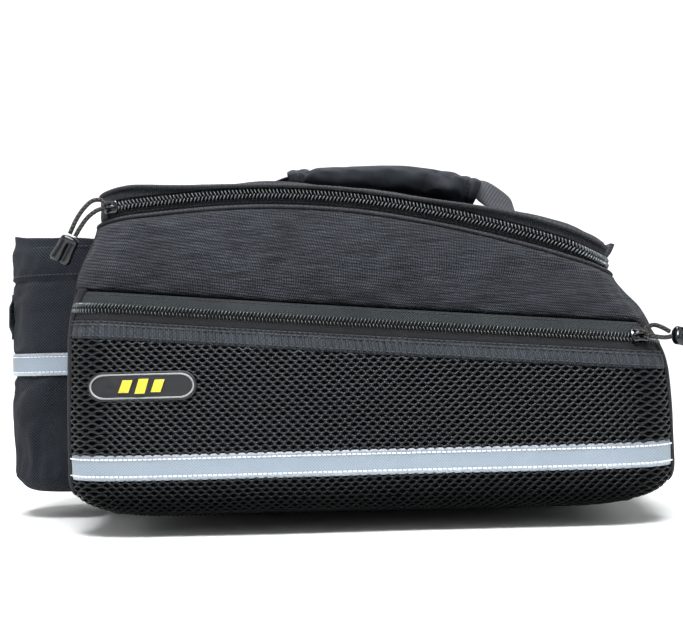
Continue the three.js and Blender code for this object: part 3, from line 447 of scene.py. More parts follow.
def remap(tree, value, low, high, newLow, newHigh, smooth=False):
    node = addNode(tree, "ShaderNodeMapRange", interpolation_type="SMOOTHSTEP" if smooth else "LINEAR")
    for socket, number in zip(node.inputs[1:5], (low, high, newLow, newHigh)):
        socket.default_value = number
    join(tree, value, node.inputs[0])
    return node.outputs[0]


def makeGroup(name, inputs, outputs, build):
    group = bpy.data.node_groups.new(name, "ShaderNodeTree")
    for word, kind, value in inputs:
        socket = group.interface.new_socket(word, in_out="INPUT", socket_type=kind)
        if value is not None:
            socket.default_value = value
    for word in outputs:
        group.interface.new_socket(word, in_out="OUTPUT", socket_type="NodeSocketFloat")
    start, end = addNode(group, "NodeGroupInput"), addNode(group, "NodeGroupOutput")
    for word, value in build(group, start.outputs).items():
        join(group, value, end.inputs[word])
    return group


def axesOf(tree, vector):
    parts = addNode(tree, "ShaderNodeSeparateXYZ")
    tree.links.new(vector, parts.inputs[0])
    return parts.outputs


def objectPlace(tree):
    return addNode(tree, "ShaderNodeTexCoord").outputs["Object"]


def addNoise(tree, place, scale, detail=2.0):
    noise = addNode(tree, "ShaderNodeTexNoise")
    noise.inputs["Scale"].default_value = scale
    noise.inputs["Detail"].default_value = detail
    tree.links.new(place, noise.inputs["Vector"])
    return noise.outputs[0]


# x and y of a cloth coordinate, each divided by its pitch
def pacesOf(tree, inputs):
    x, y = axesOf(tree, inputs["Place"])[:2]
    return calc(tree, "DIVIDE", x, inputs["Across"]), calc(tree, "DIVIDE", y, inputs["Along"])


def wave(tree, pace, turns=1.0):
    return calc(tree, "SINE", calc(tree, "MULTIPLY", pace, 2 * math.pi * turns))


# plain weave = sin(x) sin(y), so that raised floats form a checker
def buildWeave(tree, inputs):
    x, y = pacesOf(tree, inputs)
    floats = calc(tree, "MULTIPLY", wave(tree, x), wave(tree, y))
    return {"Height": remap(tree, floats, -1, 1, 0, 1)}


# ribs = |sin(x)|, each broken into floats that step by a share of their pitch from one rib to the next
def buildRibs(tree, inputs):
    x, y = pacesOf(tree, inputs)
    rib = calc(tree, "ABSOLUTE", wave(tree, x, 0.5))
    step = calc(tree, "MULTIPLY", calc(tree, "FLOOR", x), inputs["Step"])
    floats = calc(tree, "ABSOLUTE", wave(tree, calc(tree, "ADD", y, step), 0.5))
    broken = calc(tree, "MULTIPLY", remap(tree, floats, 0, 1, 0.35, 1), rib)
    return {"Height": broken}


# braid = two families of strands that cross on the slant
def buildBraid(tree, inputs):
    x, y = pacesOf(tree, inputs)
    one = wave(tree, calc(tree, "ADD", x, y))
    two = wave(tree, calc(tree, "SUBTRACT", x, y))
    return {"Height": remap(tree, calc(tree, "MAXIMUM", one, two), -0.2, 1, 0, 1)}


# slow tone = large soft patches and small uneven threads; lint = sparse pale specks
def buildTone(tree, inputs):
    place = objectPlace(tree)
    total = 1.0
    for size, amount in ((18.0, 0.16), (90.0, 0.08), (900.0, 0.25)):
        share = remap(tree, addNoise(tree, place, size), 0.25, 0.75, 1 - amount, 1 + amount)
        total = calc(tree, "MULTIPLY", total, share)
    return {"Tone": total, "Lint": remap(tree, addNoise(tree, place, 620.0), 0.70, 0.78, 0, 1)}


clothInputs = [("Place", "NodeSocketVector", None), ("Across", "NodeSocketFloat", 1.0),
               ("Along", "NodeSocketFloat", 1.0), ("Step", "NodeSocketFloat", 0.5)]
groups = {
    "weave": makeGroup("plain_weave", clothInputs, ["Height"], buildWeave),
    "ribs": makeGroup("ribbed_cloth", clothInputs, ["Height"], buildRibs),
    "braid": makeGroup("braided_cord", clothInputs, ["Height"], buildBraid),
    "tone": makeGroup("cloth_tone", [], ["Tone", "Lint"], buildTone),
}


def useGroup(tree, name, **inputs):
    node = addNode(tree, "ShaderNodeGroup", node_tree=groups[name])
    for word, value in inputs.items():
        join(tree, value, node.inputs[word])
    return node.outputs


def newMaterial(name, roughness, specular=0.5):
    material = bpy.data.materials.new(name)
    material.use_nodes = True
    tree = material.node_tree
    tree.nodes.clear()
    shader = addNode(tree, "ShaderNodeBsdfPrincipled")
    tree.links.new(shader.outputs[0], addNode(tree, "ShaderNodeOutputMaterial").inputs["Surface"])
    shader.inputs["Roughness"].default_value = roughness
    shader.inputs["Specular IOR Level"].default_value = specular
    return material, tree, shader


def tint(tree, color, amount):
    node = addNode(tree, "ShaderNodeVectorMath", operation="SCALE")
    join(tree, color, node.inputs[0])
    join(tree, amount, node.inputs["Scale"])
    return node.outputs[0]


def mixColor(tree, share, a, b):
    node = addNode(tree, "ShaderNodeMix", data_type="RGBA")
    join(tree, share, node.inputs[0])
    join(tree, a, node.inputs[6])
    join(tree, b, node.inputs[7])
    return node.outputs[2]


def addBump(tree, shader, height, depth):
    bump = addNode(tree, "ShaderNodeBump")
    bump.inputs["Distance"].default_value = depth * mm
    bump.inputs["Strength"].default_value = 1.0
    join(tree, height, bump.inputs["Height"])
    tree.links.new(bump.outputs[0], shader.inputs["Normal"])


# streaks = noise drawn out along the first cloth direction
def streaks(tree, uv, amount):
    stretch = addNode(tree, "ShaderNodeVectorMath", operation="MULTIPLY")
    stretch.inputs[1].default_value = (0.035, 0.75, 1.0)
    tree.links.new(uv, stretch.inputs[0])
    noise = addNoise(tree, stretch.outputs[0], 1.0, 1.0)
    return remap(tree, noise, 0.3, 0.7, 1 - amount, 1 + amount)


# painted shade low down = a share of full colour that rises with the height above the floor
def paintedLowShade(tree, least):
    height = axesOf(tree, objectPlace(tree))[2]
    return remap(tree, height, 0.012, 0.052, least, 1.0, smooth=True)


clothFinish = {"lint": 0.12, "dust": (0.2, 0.19, 0.18, 1), "sheen": 0.04, "sheenRoughness": 0.45}


# a cloth: painted shade darkens its weave's hollows and painted highlight lightens its floats, and its tone
# drifts slowly
def clothMaterial(s):
    material, tree, shader = newMaterial(s["name"], s["roughness"], s.get("specular", 0.18))
    uv = addNode(tree, "ShaderNodeUVMap", uv_map="cloth").outputs[0]
    height = useGroup(tree, s["kind"], Place=uv, Across=s["across"], Along=s["along"],
                      Step=s.get("step", 0.5))["Height"]
    tone = useGroup(tree, "tone")
    # the weave's height paints shade into its hollows and highlight onto its floats
    shade = calc(tree, "MULTIPLY", remap(tree, height, 0, 1, s.get("hollowShade", 0.55), s.get("peakHighlight", 1.15)),
                 tone["Tone"])
    if "streak" in s:
        shade = calc(tree, "MULTIPLY", shade, streaks(tree, uv, s["streak"]))
    # painted shade: the colour darkens towards the floor, where less light falls
    if "low" in s:
        shade = calc(tree, "MULTIPLY", shade, paintedLowShade(tree, s["low"]))
    if "pucker" in s:
        fold = wave(tree, calc(tree, "DIVIDE", axesOf(tree, uv)[0], s["pucker"]))
        # painted shade and highlight: each pucker's crest is lightened and its hollow darkened, along with
        # its bump
        shade = calc(tree, "MULTIPLY", shade, remap(tree, fold, -1, 1, 0.84, 1.16))
        height = calc(tree, "ADD", height, calc(tree, "MULTIPLY", fold, 0.8))
    lint = calc(tree, "MULTIPLY", tone["Lint"], clothFinish["lint"])
    dusty = mixColor(tree, lint, tint(tree, s["color"], shade), clothFinish["dust"])
    tree.links.new(dusty, shader.inputs["Base Color"])
    shader.inputs["Sheen Weight"].default_value = clothFinish["sheen"]
    shader.inputs["Sheen Roughness"].default_value = clothFinish["sheenRoughness"]
    addBump(tree, shader, height, s["depth"])
    return material


clothSettings = {
    "body": {"name": "body_cloth", "color": (0.018, 0.019, 0.022), "kind": "weave", "across": 1.3,
             "along": 1.3, "depth": 0.25, "roughness": 0.8},
    "lid": {"name": "lid_cloth", "color": (0.022, 0.023, 0.026), "kind": "weave", "across": 1.3,
            "along": 1.3, "depth": 0.25, "roughness": 0.8},
    "panel": {"name": "panel_cloth", "color": (0.031, 0.0335, 0.040), "kind": "ribs", "across": 1.2,
              "along": 1.9, "step": 0.1, "depth": 0.6, "roughness": 0.75, "hollowShade": 0.0, "peakHighlight": 1.9,
              "streak": 0.4, "specular": 0.2},
    # low: painted shade on the net's backing towards the floor
    "backing": {"name": "net_backing", "color": (0.0035, 0.0035, 0.004), "kind": "weave", "across": 0.9,
                "along": 0.9, "depth": 0.2, "roughness": 0.9, "specular": 0.08, "low": 0.4},
    "bottle": {"name": "bottle_cloth", "color": (0.022, 0.026, 0.034), "kind": "weave", "across": 2.1,
               "along": 2.1, "depth": 0.8, "roughness": 0.8, "hollowShade": 0.0, "peakHighlight": 1.6},
    "band": {"name": "band_webbing", "color": (0.034, 0.039, 0.046), "kind": "ribs", "across": 1.4,
             "along": 3.0, "depth": 0.35, "roughness": 0.65, "specular": 0.25, "pucker": 4.5},
    "strap": {"name": "strap_webbing", "color": (0.050, 0.052, 0.060), "kind": "ribs", "across": 2.2,
              "along": 1.4, "depth": 0.4, "roughness": 0.65, "specular": 0.3},
    "grip": {"name": "grip_cloth", "color": (0.012, 0.015, 0.021), "kind": "weave", "across": 1.0,
             "along": 1.0, "depth": 0.15, "roughness": 0.6, "specular": 0.3},
    # upper tape: partly its own colour, partly painted light, lighter than the lower tape where it faces up
    "upperTape": {"name": "upper_tape_lit", "color": (0.031, 0.036, 0.038), "kind": "weave", "across": 1.6,
                  "along": 1.6, "depth": 0.4, "roughness": 0.75, "hollowShade": 0.1, "peakHighlight": 1.4},
    "lowerTape": {"name": "lower_tape", "color": (0.016, 0.016, 0.018), "kind": "weave", "across": 1.1,
                  "along": 1.1, "depth": 0.3, "roughness": 0.75},
    "piping": {"name": "piping_cloth", "color": (0.030, 0.031, 0.035), "kind": "braid", "across": 3.2,
               "along": 3.2, "depth": 0.3, "roughness": 0.7, "specular": 0.3},
    "cord": {"name": "braided_cord", "color": (0.022, 0.020, 0.018), "kind": "braid", "across": 2.8,
             "along": 2.8, "depth": 0.7, "roughness": 0.4, "specular": 0.5, "hollowShade": 0.0, "peakHighlight": 1.8},
}
cloth = {key: clothMaterial(s) for key, s in clothSettings.items()}


# moulded parts: gloss that wanders a little and fine scuffs
def mouldedMaterial(name, color, roughness, scuff=0.06, specular=0.5, low=None):
    material, tree, shader = newMaterial(name, roughness, specular)
    noise = addNoise(tree, objectPlace(tree), 260.0, 4.0)
    shade = remap(tree, noise, 0.3, 0.7, 0.85, 1.15)
    # low: painted shade, colour and specular both darken towards the floor
    if low is not None:
        paintedShade = paintedLowShade(tree, low)
        shade = calc(tree, "MULTIPLY", shade, paintedShade)
        tree.links.new(calc(tree, "MULTIPLY", paintedShade, specular), shader.inputs["Specular IOR Level"])
    tree.links.new(tint(tree, color, shade), shader.inputs["Base Color"])
    tree.links.new(remap(tree, noise, 0.3, 0.7, roughness - scuff, roughness + scuff),
                   shader.inputs["Roughness"])
    addBump(tree, shader, noise, 0.05)
    return material


plain = {
    "coil": mouldedMaterial("zip_coil", (0.085, 0.093, 0.096), 0.26, specular=0.9),
    # near-black bed under the zip teeth: it stands for the tape under the coil, and its colour is painted
    # shade between the coil bars
    "bed": mouldedMaterial("zip_bed", (0.005, 0.005, 0.005), 0.7, specular=0.1),
    "slider": mouldedMaterial("zip_slider", (0.004, 0.004, 0.005), 0.1, scuff=0.04, specular=0.8),
    "pull": mouldedMaterial("pull_end", (0.004, 0.005, 0.007), 0.16, scuff=0.04, specular=0.6),
    # low: painted shade on the net threads towards the floor
    "net": mouldedMaterial("net_thread", (0.0075, 0.009, 0.0105), 0.32, specular=0.42, low=0.25),
    "rubber": mouldedMaterial("badge_rubber", (0.014, 0.014, 0.015), 0.5),
    "rubberRim": mouldedMaterial("badge_rim", (0.24, 0.245, 0.25), 0.5),
    "rubberYellow": mouldedMaterial("badge_yellow", (0.56, 0.47, 0.04), 0.5),
    "runner": mouldedMaterial("runner_plastic", (0.018, 0.018, 0.019), 0.45),
    "paleThread": mouldedMaterial("pale_thread", (0.62, 0.64, 0.66), 0.6),
    "darkThread": mouldedMaterial("dark_thread", (0.040, 0.042, 0.048), 0.5, specular=0.3),
}


# retroreflective tape: fine crossing lines in silver, with cloth margins above and below
def reflectiveMaterial(s):
    material, tree, shader = newMaterial("reflective_tape", 0.4, 0.6)
    uv = addNode(tree, "ShaderNodeUVMap", uv_map="cloth").outputs[0]
    height = axesOf(tree, uv)[1]
    cells = useGroup(tree, "braid", Place=uv, Across=1.9, Along=1.9)["Height"]
    tone = useGroup(tree, "tone")["Tone"]
    silver = tint(tree, s["silver"], calc(tree, "MULTIPLY", remap(tree, cells, 0, 1, 0.86, 1.06),
                                          remap(tree, tone, 0.5, 1.5, 0.9, 1.1)))
    upper = s["width"] - s["topMargin"]
    top = remap(tree, height, upper, upper + 0.3, 0, 1)
    low = remap(tree, height, s["lowMargin"] - 0.3, s["lowMargin"], 1, 0)
    color = mixColor(tree, top, silver, tint(tree, s["topColor"], tone))
    color = mixColor(tree, low, color, tint(tree, s["lowColor"], tone))
    tree.links.new(color, shader.inputs["Base Color"])
    middle = calc(tree, "SUBTRACT", 1.0, calc(tree, "MAXIMUM", top, low))
    tree.links.new(calc(tree, "MULTIPLY", middle, 0.25), shader.inputs["Metallic"])
    addBump(tree, shader, cells, 0.06)
    return material


plain["reflective"] = reflectiveMaterial({
    "silver": (0.245, 0.285, 0.33), "width": 15.5, "topMargin": 2.6, "lowMargin": 2.6,
    "topColor": (0.19, 0.205, 0.23), "lowColor": (0.34, 0.38, 0.42)})
print("materials made:", len(cloth) + len(plain))


# ---- cords: each from its slider's eye, round its loop and back, with its moulded end
pulls = {"cord": 2.8, "endLength": 18.0, "endTop": 11.5, "endFoot": 14.0, "endThick": 8.0,
         "slider": (11.5, 10.0, 4.2), "lidColumn": 2.5, "pocketColumn": 13.55}
lidPullRoute = [
    (-19.4, 13, -18.6), (-16.4, 11, -13), (-12, 8, -6.6), (-7, 4.6, -2.4), (-3, 1.9, -0.6),
    (-1.8, 1.6, 2), (-4.4, 2.4, 4.6), (-9.4, 6, 4), (-14.6, 9.6, -1.2), (-19, 12.6, -8.4),
    (-22.6, 15, -16.8)]
pocketPullRoute = [
    (18.6, 4.4, -2.4), (15, 3.8, -3.4), (11, 3.2, -3.6), (6, 2.4, -2.8), (2.2, 1.6, -0.6),
    (2.2, 1.6, 2.2), (6, 2.4, 5), (10.5, 3.2, 6.3), (15, 3.9, 4.6), (19.2, 4.4, 1.6)]


def placeRoute(eye, out, route):
    steps = np.array(route, float)
    flat = np.stack([steps[:, 0], 0 * steps[:, 0], steps[:, 2]], -1)
    return eye + flat + out * (steps[:, 1:2] - (flat @ out)[:, None])


# a smooth line through the points, by the even cubic through each four neighbours
def smoothLine(points, steps):
    p = np.vstack([2 * points[0] - points[1], points, 2 * points[-1] - points[-2]])
    at = np.linspace(0, len(points) - 1, steps)
    i = np.minimum(at.astype(int), len(points) - 2)
    t = (at - i)[:, None]
    a, b, c, d = p[i], p[i + 1], p[i + 2], p[i + 3]
    return 0.5 * (2 * b + (c - a) * t + (2 * a - 5 * b + 4 * c - d) * t ** 2
                  + (3 * b - 3 * c + d - a) * t ** 3)


# rings round a line, turned as little as possible from one to the next
def ringsAlong(line, radius, sides, start):
    way = unit(np.gradient(line, axis=0))
    side = np.empty_like(line)
    last = np.array(start, float)
    for k in range(len(line)):
        last = unit(last - way[k] * (last @ way[k]))
        side[k] = last
    other = np.cross(way, side)
    turn = turnsOf(sides)
    ring = side[:, None] * np.cos(turn)[:, None] + other[:, None] * np.sin(turn)[:, None]
    return line[:, None] + ring * radius


def ringUv(line, sides, girth):
    return clothUv((np.arange(sides) * girth / sides)[None, :], lengthsOf(line)[:, None])


def makePull(name, nodes, eye, out, route):
    points = placeRoute(eye, out, route)
    line = smoothLine(points, 90)
    cord = addTube(name + "_cord", ringsAlong(line, pulls["cord"] / 2, 12, out), cloth["cord"],
                   uv=ringUv(line, 12, 8.8), replaces=[nodes[0]], slot="cord")
    down = unit(unit(points[0] - points[1]) + unit(points[-1] - points[-2]))
    across = points[-1] - points[0]
    across = unit(across - down * (across @ down))
    flat = np.cross(down, across)
    reach = max(points[0] @ down, points[-1] @ down)
    middle = (points[0] + points[-1]) / 2
    top = middle + down * (reach - middle @ down + pulls["cord"] / 4 + bag["gap"])
    end = pullEnd(name + "_end", nodes[1], top, down, across, flat)


# two-lobed moulded end: wide at the foot, waisted between its lobes, with a groove down its middle
def pullEnd(name, node, top, down, across, flat):
    share = np.linspace(0, 1, 40)
    half = (pulls["endTop"] + (pulls["endFoot"] - pulls["endTop"]) * share) / 2
    half = half * np.interp(
        share, [0, 0.03, 0.09, 0.16, 0.5, 0.8, 0.93, 1], [0.35, 0.75, 0.96, 1, 0.95, 1, 0.97, 0.8])
    thick = pulls["endThick"] / 2 * np.interp(
        share, [0, 0.03, 0.09, 0.16, 0.22, 0.3, 0.6, 0.92, 1], [0.35, 0.75, 0.96, 1, 0.9, 0.97, 1, 0.94, 0.6])
    turn = turnsOf(40)
    sideways, forward = squared(np.cos(turn), 0.75), squared(np.sin(turn), 0.75)
    groove = 1 - 0.6 * np.exp(-(sideways / 0.22) ** 2) * np.clip((share[:, None] - 0.12) / 0.2, 0, 1)
    rings = (top + down * (share * pulls["endLength"])[:, None, None]
             + across * (half[:, None] * sideways)[..., None]
             + flat * (thick[:, None] * forward * groove)[..., None])
    return addTube(name, rings, plain["pull"], replaces=[node], slot="moulded", sharp=50)


# slider: a waisted body with a bridge over it that the cord goes through
def makeSlider(name, node, seat, out):
    length, width, thick = pulls["slider"]
    along = unit(np.array([-out[1], out[0], 0.0]))
    up = np.cross(out, along)
    share = np.array([0, 0.08, 0.2, 0.38, 0.5, 0.62, 0.72, 0.76])
    scale = np.array([0.9, 0.98, 1.0, 1.0, 0.96, 0.86, 0.6, 0.3])[:, None]
    turn = turnsOf(36)
    waist = 1 - 0.2 * np.exp(-(np.cos(turn) / 0.35) ** 2)
    rings = (seat + out * (bag["gap"] + share * thick)[:, None, None]
             + along * (scale * length / 2 * squared(np.cos(turn), 0.6))[..., None]
             + up * (scale * width / 2 * waist * squared(np.sin(turn), 0.6))[..., None])
    addTube(name, rings, plain["slider"], replaces=[node], slot="slider", sharp=45)
    arch = np.linspace(0, np.pi, 24)
    line = (seat + along * (np.cos(arch) * length * 0.36)[:, None]
            + out * (bag["gap"] + thick * (0.6 + 0.62 * np.sin(arch)))[:, None])
    addTube(name + "_bridge", ringsAlong(line, 0.95, 10, up), plain["slider"])


lidChainOut = 0.8
lidOut = faceOut(pulls["lidColumn"])
lidSeat = overRim(np.array(pulls["lidColumn"]), 6.5, lidChainOut)
lidEye = lidSeat + lidOut * (bag["gap"] + pulls["slider"][2])

# ---- side pocket's face: rows of height and of how far it stands out
pocket = {
    "depth": 24.0, "wall": 2.5, "endRound": 45.0, "baseRise": 1.2, "cornerRise": 20.0, "cornerReach": 60.0,
    "zipRear": 131.2, "zipFront": 100.2, "chain": 5.5, "upperTape": 6.9, "lowerTape": 5.4, "lip": 1.5,
    "band": 10.0, "bandGap": 0.5, "stripeLow": 24.3, "stripe": 15.5, "belly": 0.35,
    "first": 2.0, "last": 15.0, "strips": (2.05, 14.95), "stitches": (2.3, 14.8),
}
pocketOut = np.array([0, 0.32, 0.64, 0.88, 0.99, 1.0, 0.995, 0.85, 0.71, 0.56, 0.42, 0.12, 0])
row = {"stripeLow": 4, "stripeTop": 5, "belly": 6, "bandLow": 7, "tapeLow": 8, "chainLow": 9,
       "chainTop": 10, "tapeTop": 11}
pocketColumns = np.linspace(pocket["first"], pocket["last"], 391)
pocketRows = np.linspace(0, 12, 289)


def endRound(u, reach):
    a, b = lengthRound(pocket["first"]), lengthRound(pocket["last"])
    toEnd = np.minimum(lengthRound(u) - a, b - lengthRound(u)) / reach
    return np.sqrt(1 - (1 - np.clip(toEnd, 0, 1)) ** 2)


def zipLine(u):
    x = wall(u, bag["base"] + 0.45 * bag["height"])[..., 0]
    share = (x / bag["halfLength"] + 1) / 2
    return bag["base"] + pocket["zipRear"] + (pocket["zipFront"] - pocket["zipRear"]) * share


def lipHeight(u):
    return zipLine(u) + pocket["chain"] / 2 + pocket["upperTape"] + pocket["lip"]


def pocketHeights(u):
    middle = zipLine(u)
    stripeLow = bag["base"] + pocket["stripeLow"] + 0 * u
    stripeTop = stripeLow + pocket["stripe"]
    chainLow, chainTop = middle - pocket["chain"] / 2, middle + pocket["chain"] / 2
    tapeLow = chainLow - pocket["lowerTape"]
    bandLow = tapeLow - pocket["band"] - pocket["bandGap"]
    belly = stripeTop + (bandLow - stripeTop) * pocket["belly"]
    corner = pocket["cornerRise"] * (1 - endRound(u, pocket["cornerReach"]))
    bottom = bag["base"] + pocket["baseRise"] + corner
    under = [bottom + (stripeLow - bottom) * share for share in (0, 0.02, 0.16, 0.46)]
    return np.stack(under + [stripeLow, stripeTop, belly, bandLow, tapeLow, chainLow, chainTop,
                             chainTop + pocket["upperTape"], lipHeight(u)], -1)


# each column's line of rows is smoothed along its own length, with its two ends kept
def pocketTables():
    full = endRound(pocketColumns, pocket["endRound"]) * (pocket["depth"] - pocket["wall"] - bag["gap"])
    heights = pocketHeights(pocketColumns)
    reach, weights = np.linspace(-4, 4, 9), np.exp(-np.linspace(-1.6, 1.6, 9) ** 2)
    z = np.empty((len(pocketColumns), len(pocketRows)))
    stand = np.empty(z.shape)
    for k in range(len(pocketColumns)):
        line = np.stack([heights[k], pocketOut * full[k]], -1)
        length = lengthsOf(line)
        at = np.interp(pocketRows, np.arange(13), length)
        for values, target in ((line[:, 0], z), (line[:, 1], stand)):
            total = 0
            for step, weight in zip(reach, weights):
                here = at + step * np.clip(np.minimum(at, length[-1] - at) / 4, 0, 1)
                total = total + weight * np.interp(here, length, values)
            target[k] = total / weights.sum()
    billow = 1.2 * uneven(lengthRound(pocketColumns)[:, None] + 0 * z, z, 120, 3) * full[:, None] / 21
    billow = billow * np.clip((pocketRows - 1) / 2, 0, 1) * np.clip((9 - pocketRows) / 2, 0, 1)
    return onBody(pocketColumns[:, None], z, bag["gap"] + pocket["wall"] + np.maximum(stand + billow, 0))


pocketPoints = pocketTables()
pocketNormals = gridNormals(pocketPoints)
if (pocketNormals * faceOut(pocketColumns)[:, None]).sum() < 0:
    pocketNormals = -pocketNormals


# a value between a table's rows and columns, by shares of its four neighbours
def readGrid(grid, i, j):
    i, j = np.broadcast_arrays(np.clip(i, 0, grid.shape[0] - 1.001), np.clip(j, 0, grid.shape[1] - 1.001))
    a, b = i.astype(int), j.astype(int)
    s, t = (i - a)[..., None], (j - b)[..., None]
    return (grid[a, b] * (1 - s) * (1 - t) + grid[a + 1, b] * s * (1 - t)
            + grid[a, b + 1] * (1 - s) * t + grid[a + 1, b + 1] * s * t)


def onPocket(u, v, lift=0.0):
    i = (np.asarray(u) - pocket["first"]) / (pocket["last"] - pocket["first"]) * (len(pocketColumns) - 1)
    j = np.asarray(v) / 12 * (len(pocketRows) - 1)
    normal = unit(readGrid(pocketNormals, i, j))
    return readGrid(pocketPoints, i, j) + normal * np.asarray(lift)[..., None], normal


def alongPocket(count, first=pocket["first"], last=pocket["last"]):
    return np.linspace(first, last, count)


# near and far pieces are mirror images
def addPair(make, name, points, *rest, nodes=(), **more):
    for side, grid in (("near", points), ("far", mirror(points))):
        named = dict(more, replaces=["%s_%s" % (node, side) for node in nodes])
        if "inner" in more:
            named["inner"] = more["inner"] if side == "near" else mirror(more["inner"])
        make("%s_%s" % (name, side), grid, *rest, **named)


sliderOut = onPocket(np.array(pulls["pocketColumn"]), 9.5)[1]
sliderSeat = onPocket(np.array(pulls["pocketColumn"]), 9.5, 2.2)[0]
sliderEye = sliderSeat + sliderOut * (bag["gap"] + pulls["slider"][2])


def makePulls():
    makeSlider("lid_zip_slider", "lid_slider", lidSeat, lidOut)
    makePull("lid_zip_pull", ["lid_pull_cord", "lid_pull_end"], lidEye, lidOut, lidPullRoute)
    for side, flip in (("near", 1.0), ("far", -1.0)):
        over = np.array([1.0, flip, 1.0])
        makeSlider("pocket_zip_slider_" + side, "pocket_slider_" + side, sliderSeat * over, sliderOut * over)
        makePull("pocket_zip_pull_" + side, ["pocket_pull_cord_" + side, "pocket_pull_end_" + side],
                 sliderEye * over, sliderOut * over, pocketPullRoute)


makePulls()
print("cords and sliders made")


# ---- tub: a padded shell, its walls wavering a little and its ends dented with soft folds
def makeTub():
    columns = np.linspace(0, wholeRound, 265)[:-1]
    rim = rimAt(columns)
    low = bag["base"] + np.maximum(underRadius(columns), 5.0)
    fx = facing(columns)[0]
    rings = []
    for turn in np.radians(np.linspace(0, 84, 8)):
        z = bag["base"] + underRadius(columns) * (1 - math.cos(turn))
        rings.append(onBody(columns, z, 0.0))
    for share in np.linspace(0, 1, 56):
        z = low + (rim - low) * share
        y = wall(columns, z)[..., 1]
        folds = 1.1 * uneven(y * 0.6, z * 1.4, 60, 5) + 0.5 * uneven(y, z * 2.0, 24, 8) - 0.9
        quiet = np.clip(share / 0.15, 0, 1) * np.clip((1 - share) / 0.12, 0, 1) * np.abs(fx) ** 2
        rings.append(wall(columns, z, folds * quiet))
    for share in np.linspace(1, 0, 12):
        rings.append(wall(columns, low + (rim - low) * share, -4.0))
    inside = onBody(columns, bag["base"] + 5.0 + 0 * columns, -4.0)
    rings.append(inside * np.array([0.9, 0.9, 1.0]))
    rings = np.array(rings)
    uv = clothUv(lengthRound(columns)[None], lengthsOf(rings[:, 45])[:, None])
    addTube("tub", rings, cloth["body"], uv=uv, replaces=["main_body"], slot="body_fabric")


makeTub()


# a soft rib of folded cloth down each corner, where the side is sewn to the ends
def makeCornerRibs(s):
    for name, column in (("rear", s["rear"]), ("front", s["front"])):
        base, top = bag["base"] + s["rise"], rimAt(np.array([column]))[0] - 4
        z = np.linspace(base, top, 120)
        turn = np.linspace(0, 2 * np.pi, 15)[:-1]
        spread = s["width"] / 2 * np.cos(turn) / 11.8
        height = s["height"] * np.maximum(np.sin(turn), -0.1)
        swell = 1 + 0.08 * uneven(z, 0 * z, 30, 4)
        rings = onBody(column + spread[None, :] * swell[:, None], z[:, None] + 0 * turn[None, :],
                       height[None, :] * swell[:, None] + 0.2)
        addPair(addTube, "corner_rib_" + name, rings, cloth["body"], uv=ringUv(rings[:, 0], 14, 14.0))


makeCornerRibs({"rear": 1.15, "front": 16.15, "rise": 46, "width": 6.5, "height": 2.2})


# ---- ribbed side panels, padded like pillows between the lip and the piping
def makePanels(s):
    rows, count = 40, 200
    columns = np.linspace(1, 16, count)
    around = lengthRound(columns)
    share = np.linspace(0, 1, rows)[:, None]
    low = lipHeight(columns) + 0.5
    z = low + (rimAt(columns) - 3.5 - low) * share
    across = np.sqrt(1 - np.abs(2 * share - 1) ** 6)
    along = (1 - np.abs(np.linspace(-1, 1, count)) ** 8) ** 0.5
    waves = 0.35 * uneven(around + 0 * z, z, 70, 11) + 0.12 * uneven(around, z, 18, 12)
    lift = bag["gap"] + s["edge"] + (s["crown"] + waves) * across * along
    outer = puff(onBody(columns, z, lift), edgeHeld(rows, count, 3, 5), s)
    addPair(addSkin, "ribbed_panel", outer, cloth["panel"], uv=clothUv(around[None], z),
            inner=onBody(columns, z, bag["gap"] + 0 * z), nodes=["side_panel"], slot="panel_fabric", fill=0.7)


makePanels({"name": "panel", "edge": 1.0, "crown": 3.2, "rows": 30, "columns": 120, "flip": False,
            "stiff": 8.0, "bend": 0.4, "grow": 0.02, "pressure": 2.0, "cap": 1.5})
print("tub and panels made")


# ---- side pockets: dark backing, then a net of zigzag threads over it
def makePocketBacking():
    columns, rows = alongPocket(150), np.linspace(0, 12, 44)[:, None]
    outer, inner = onPocket(columns, rows)[0], onPocket(columns, rows, -1.6)[0]
    uv = clothUv(lengthRound(columns)[None], outer[..., 2])
    addPair(addSkin, "pocket_backing", outer, cloth["backing"], uv=uv, inner=inner, nodes=["side_pocket"],
            slot="mesh_fabric")


makePocketBacking()


# lengths up each column's line, measured from the stripe's lower edge
def netTables():
    length = np.cumsum(np.linalg.norm(np.diff(pocketPoints, axis=1), axis=2), axis=1)
    length = np.concatenate([np.zeros((len(pocketColumns), 1)), length], 1)
    at = int(row["stripeLow"] / 12 * (len(pocketRows) - 1))
    length -= length[:, at:at + 1]
    top = np.array([np.interp(row["bandLow"], pocketRows, line) for line in length])
    return length, length[:, 0], top


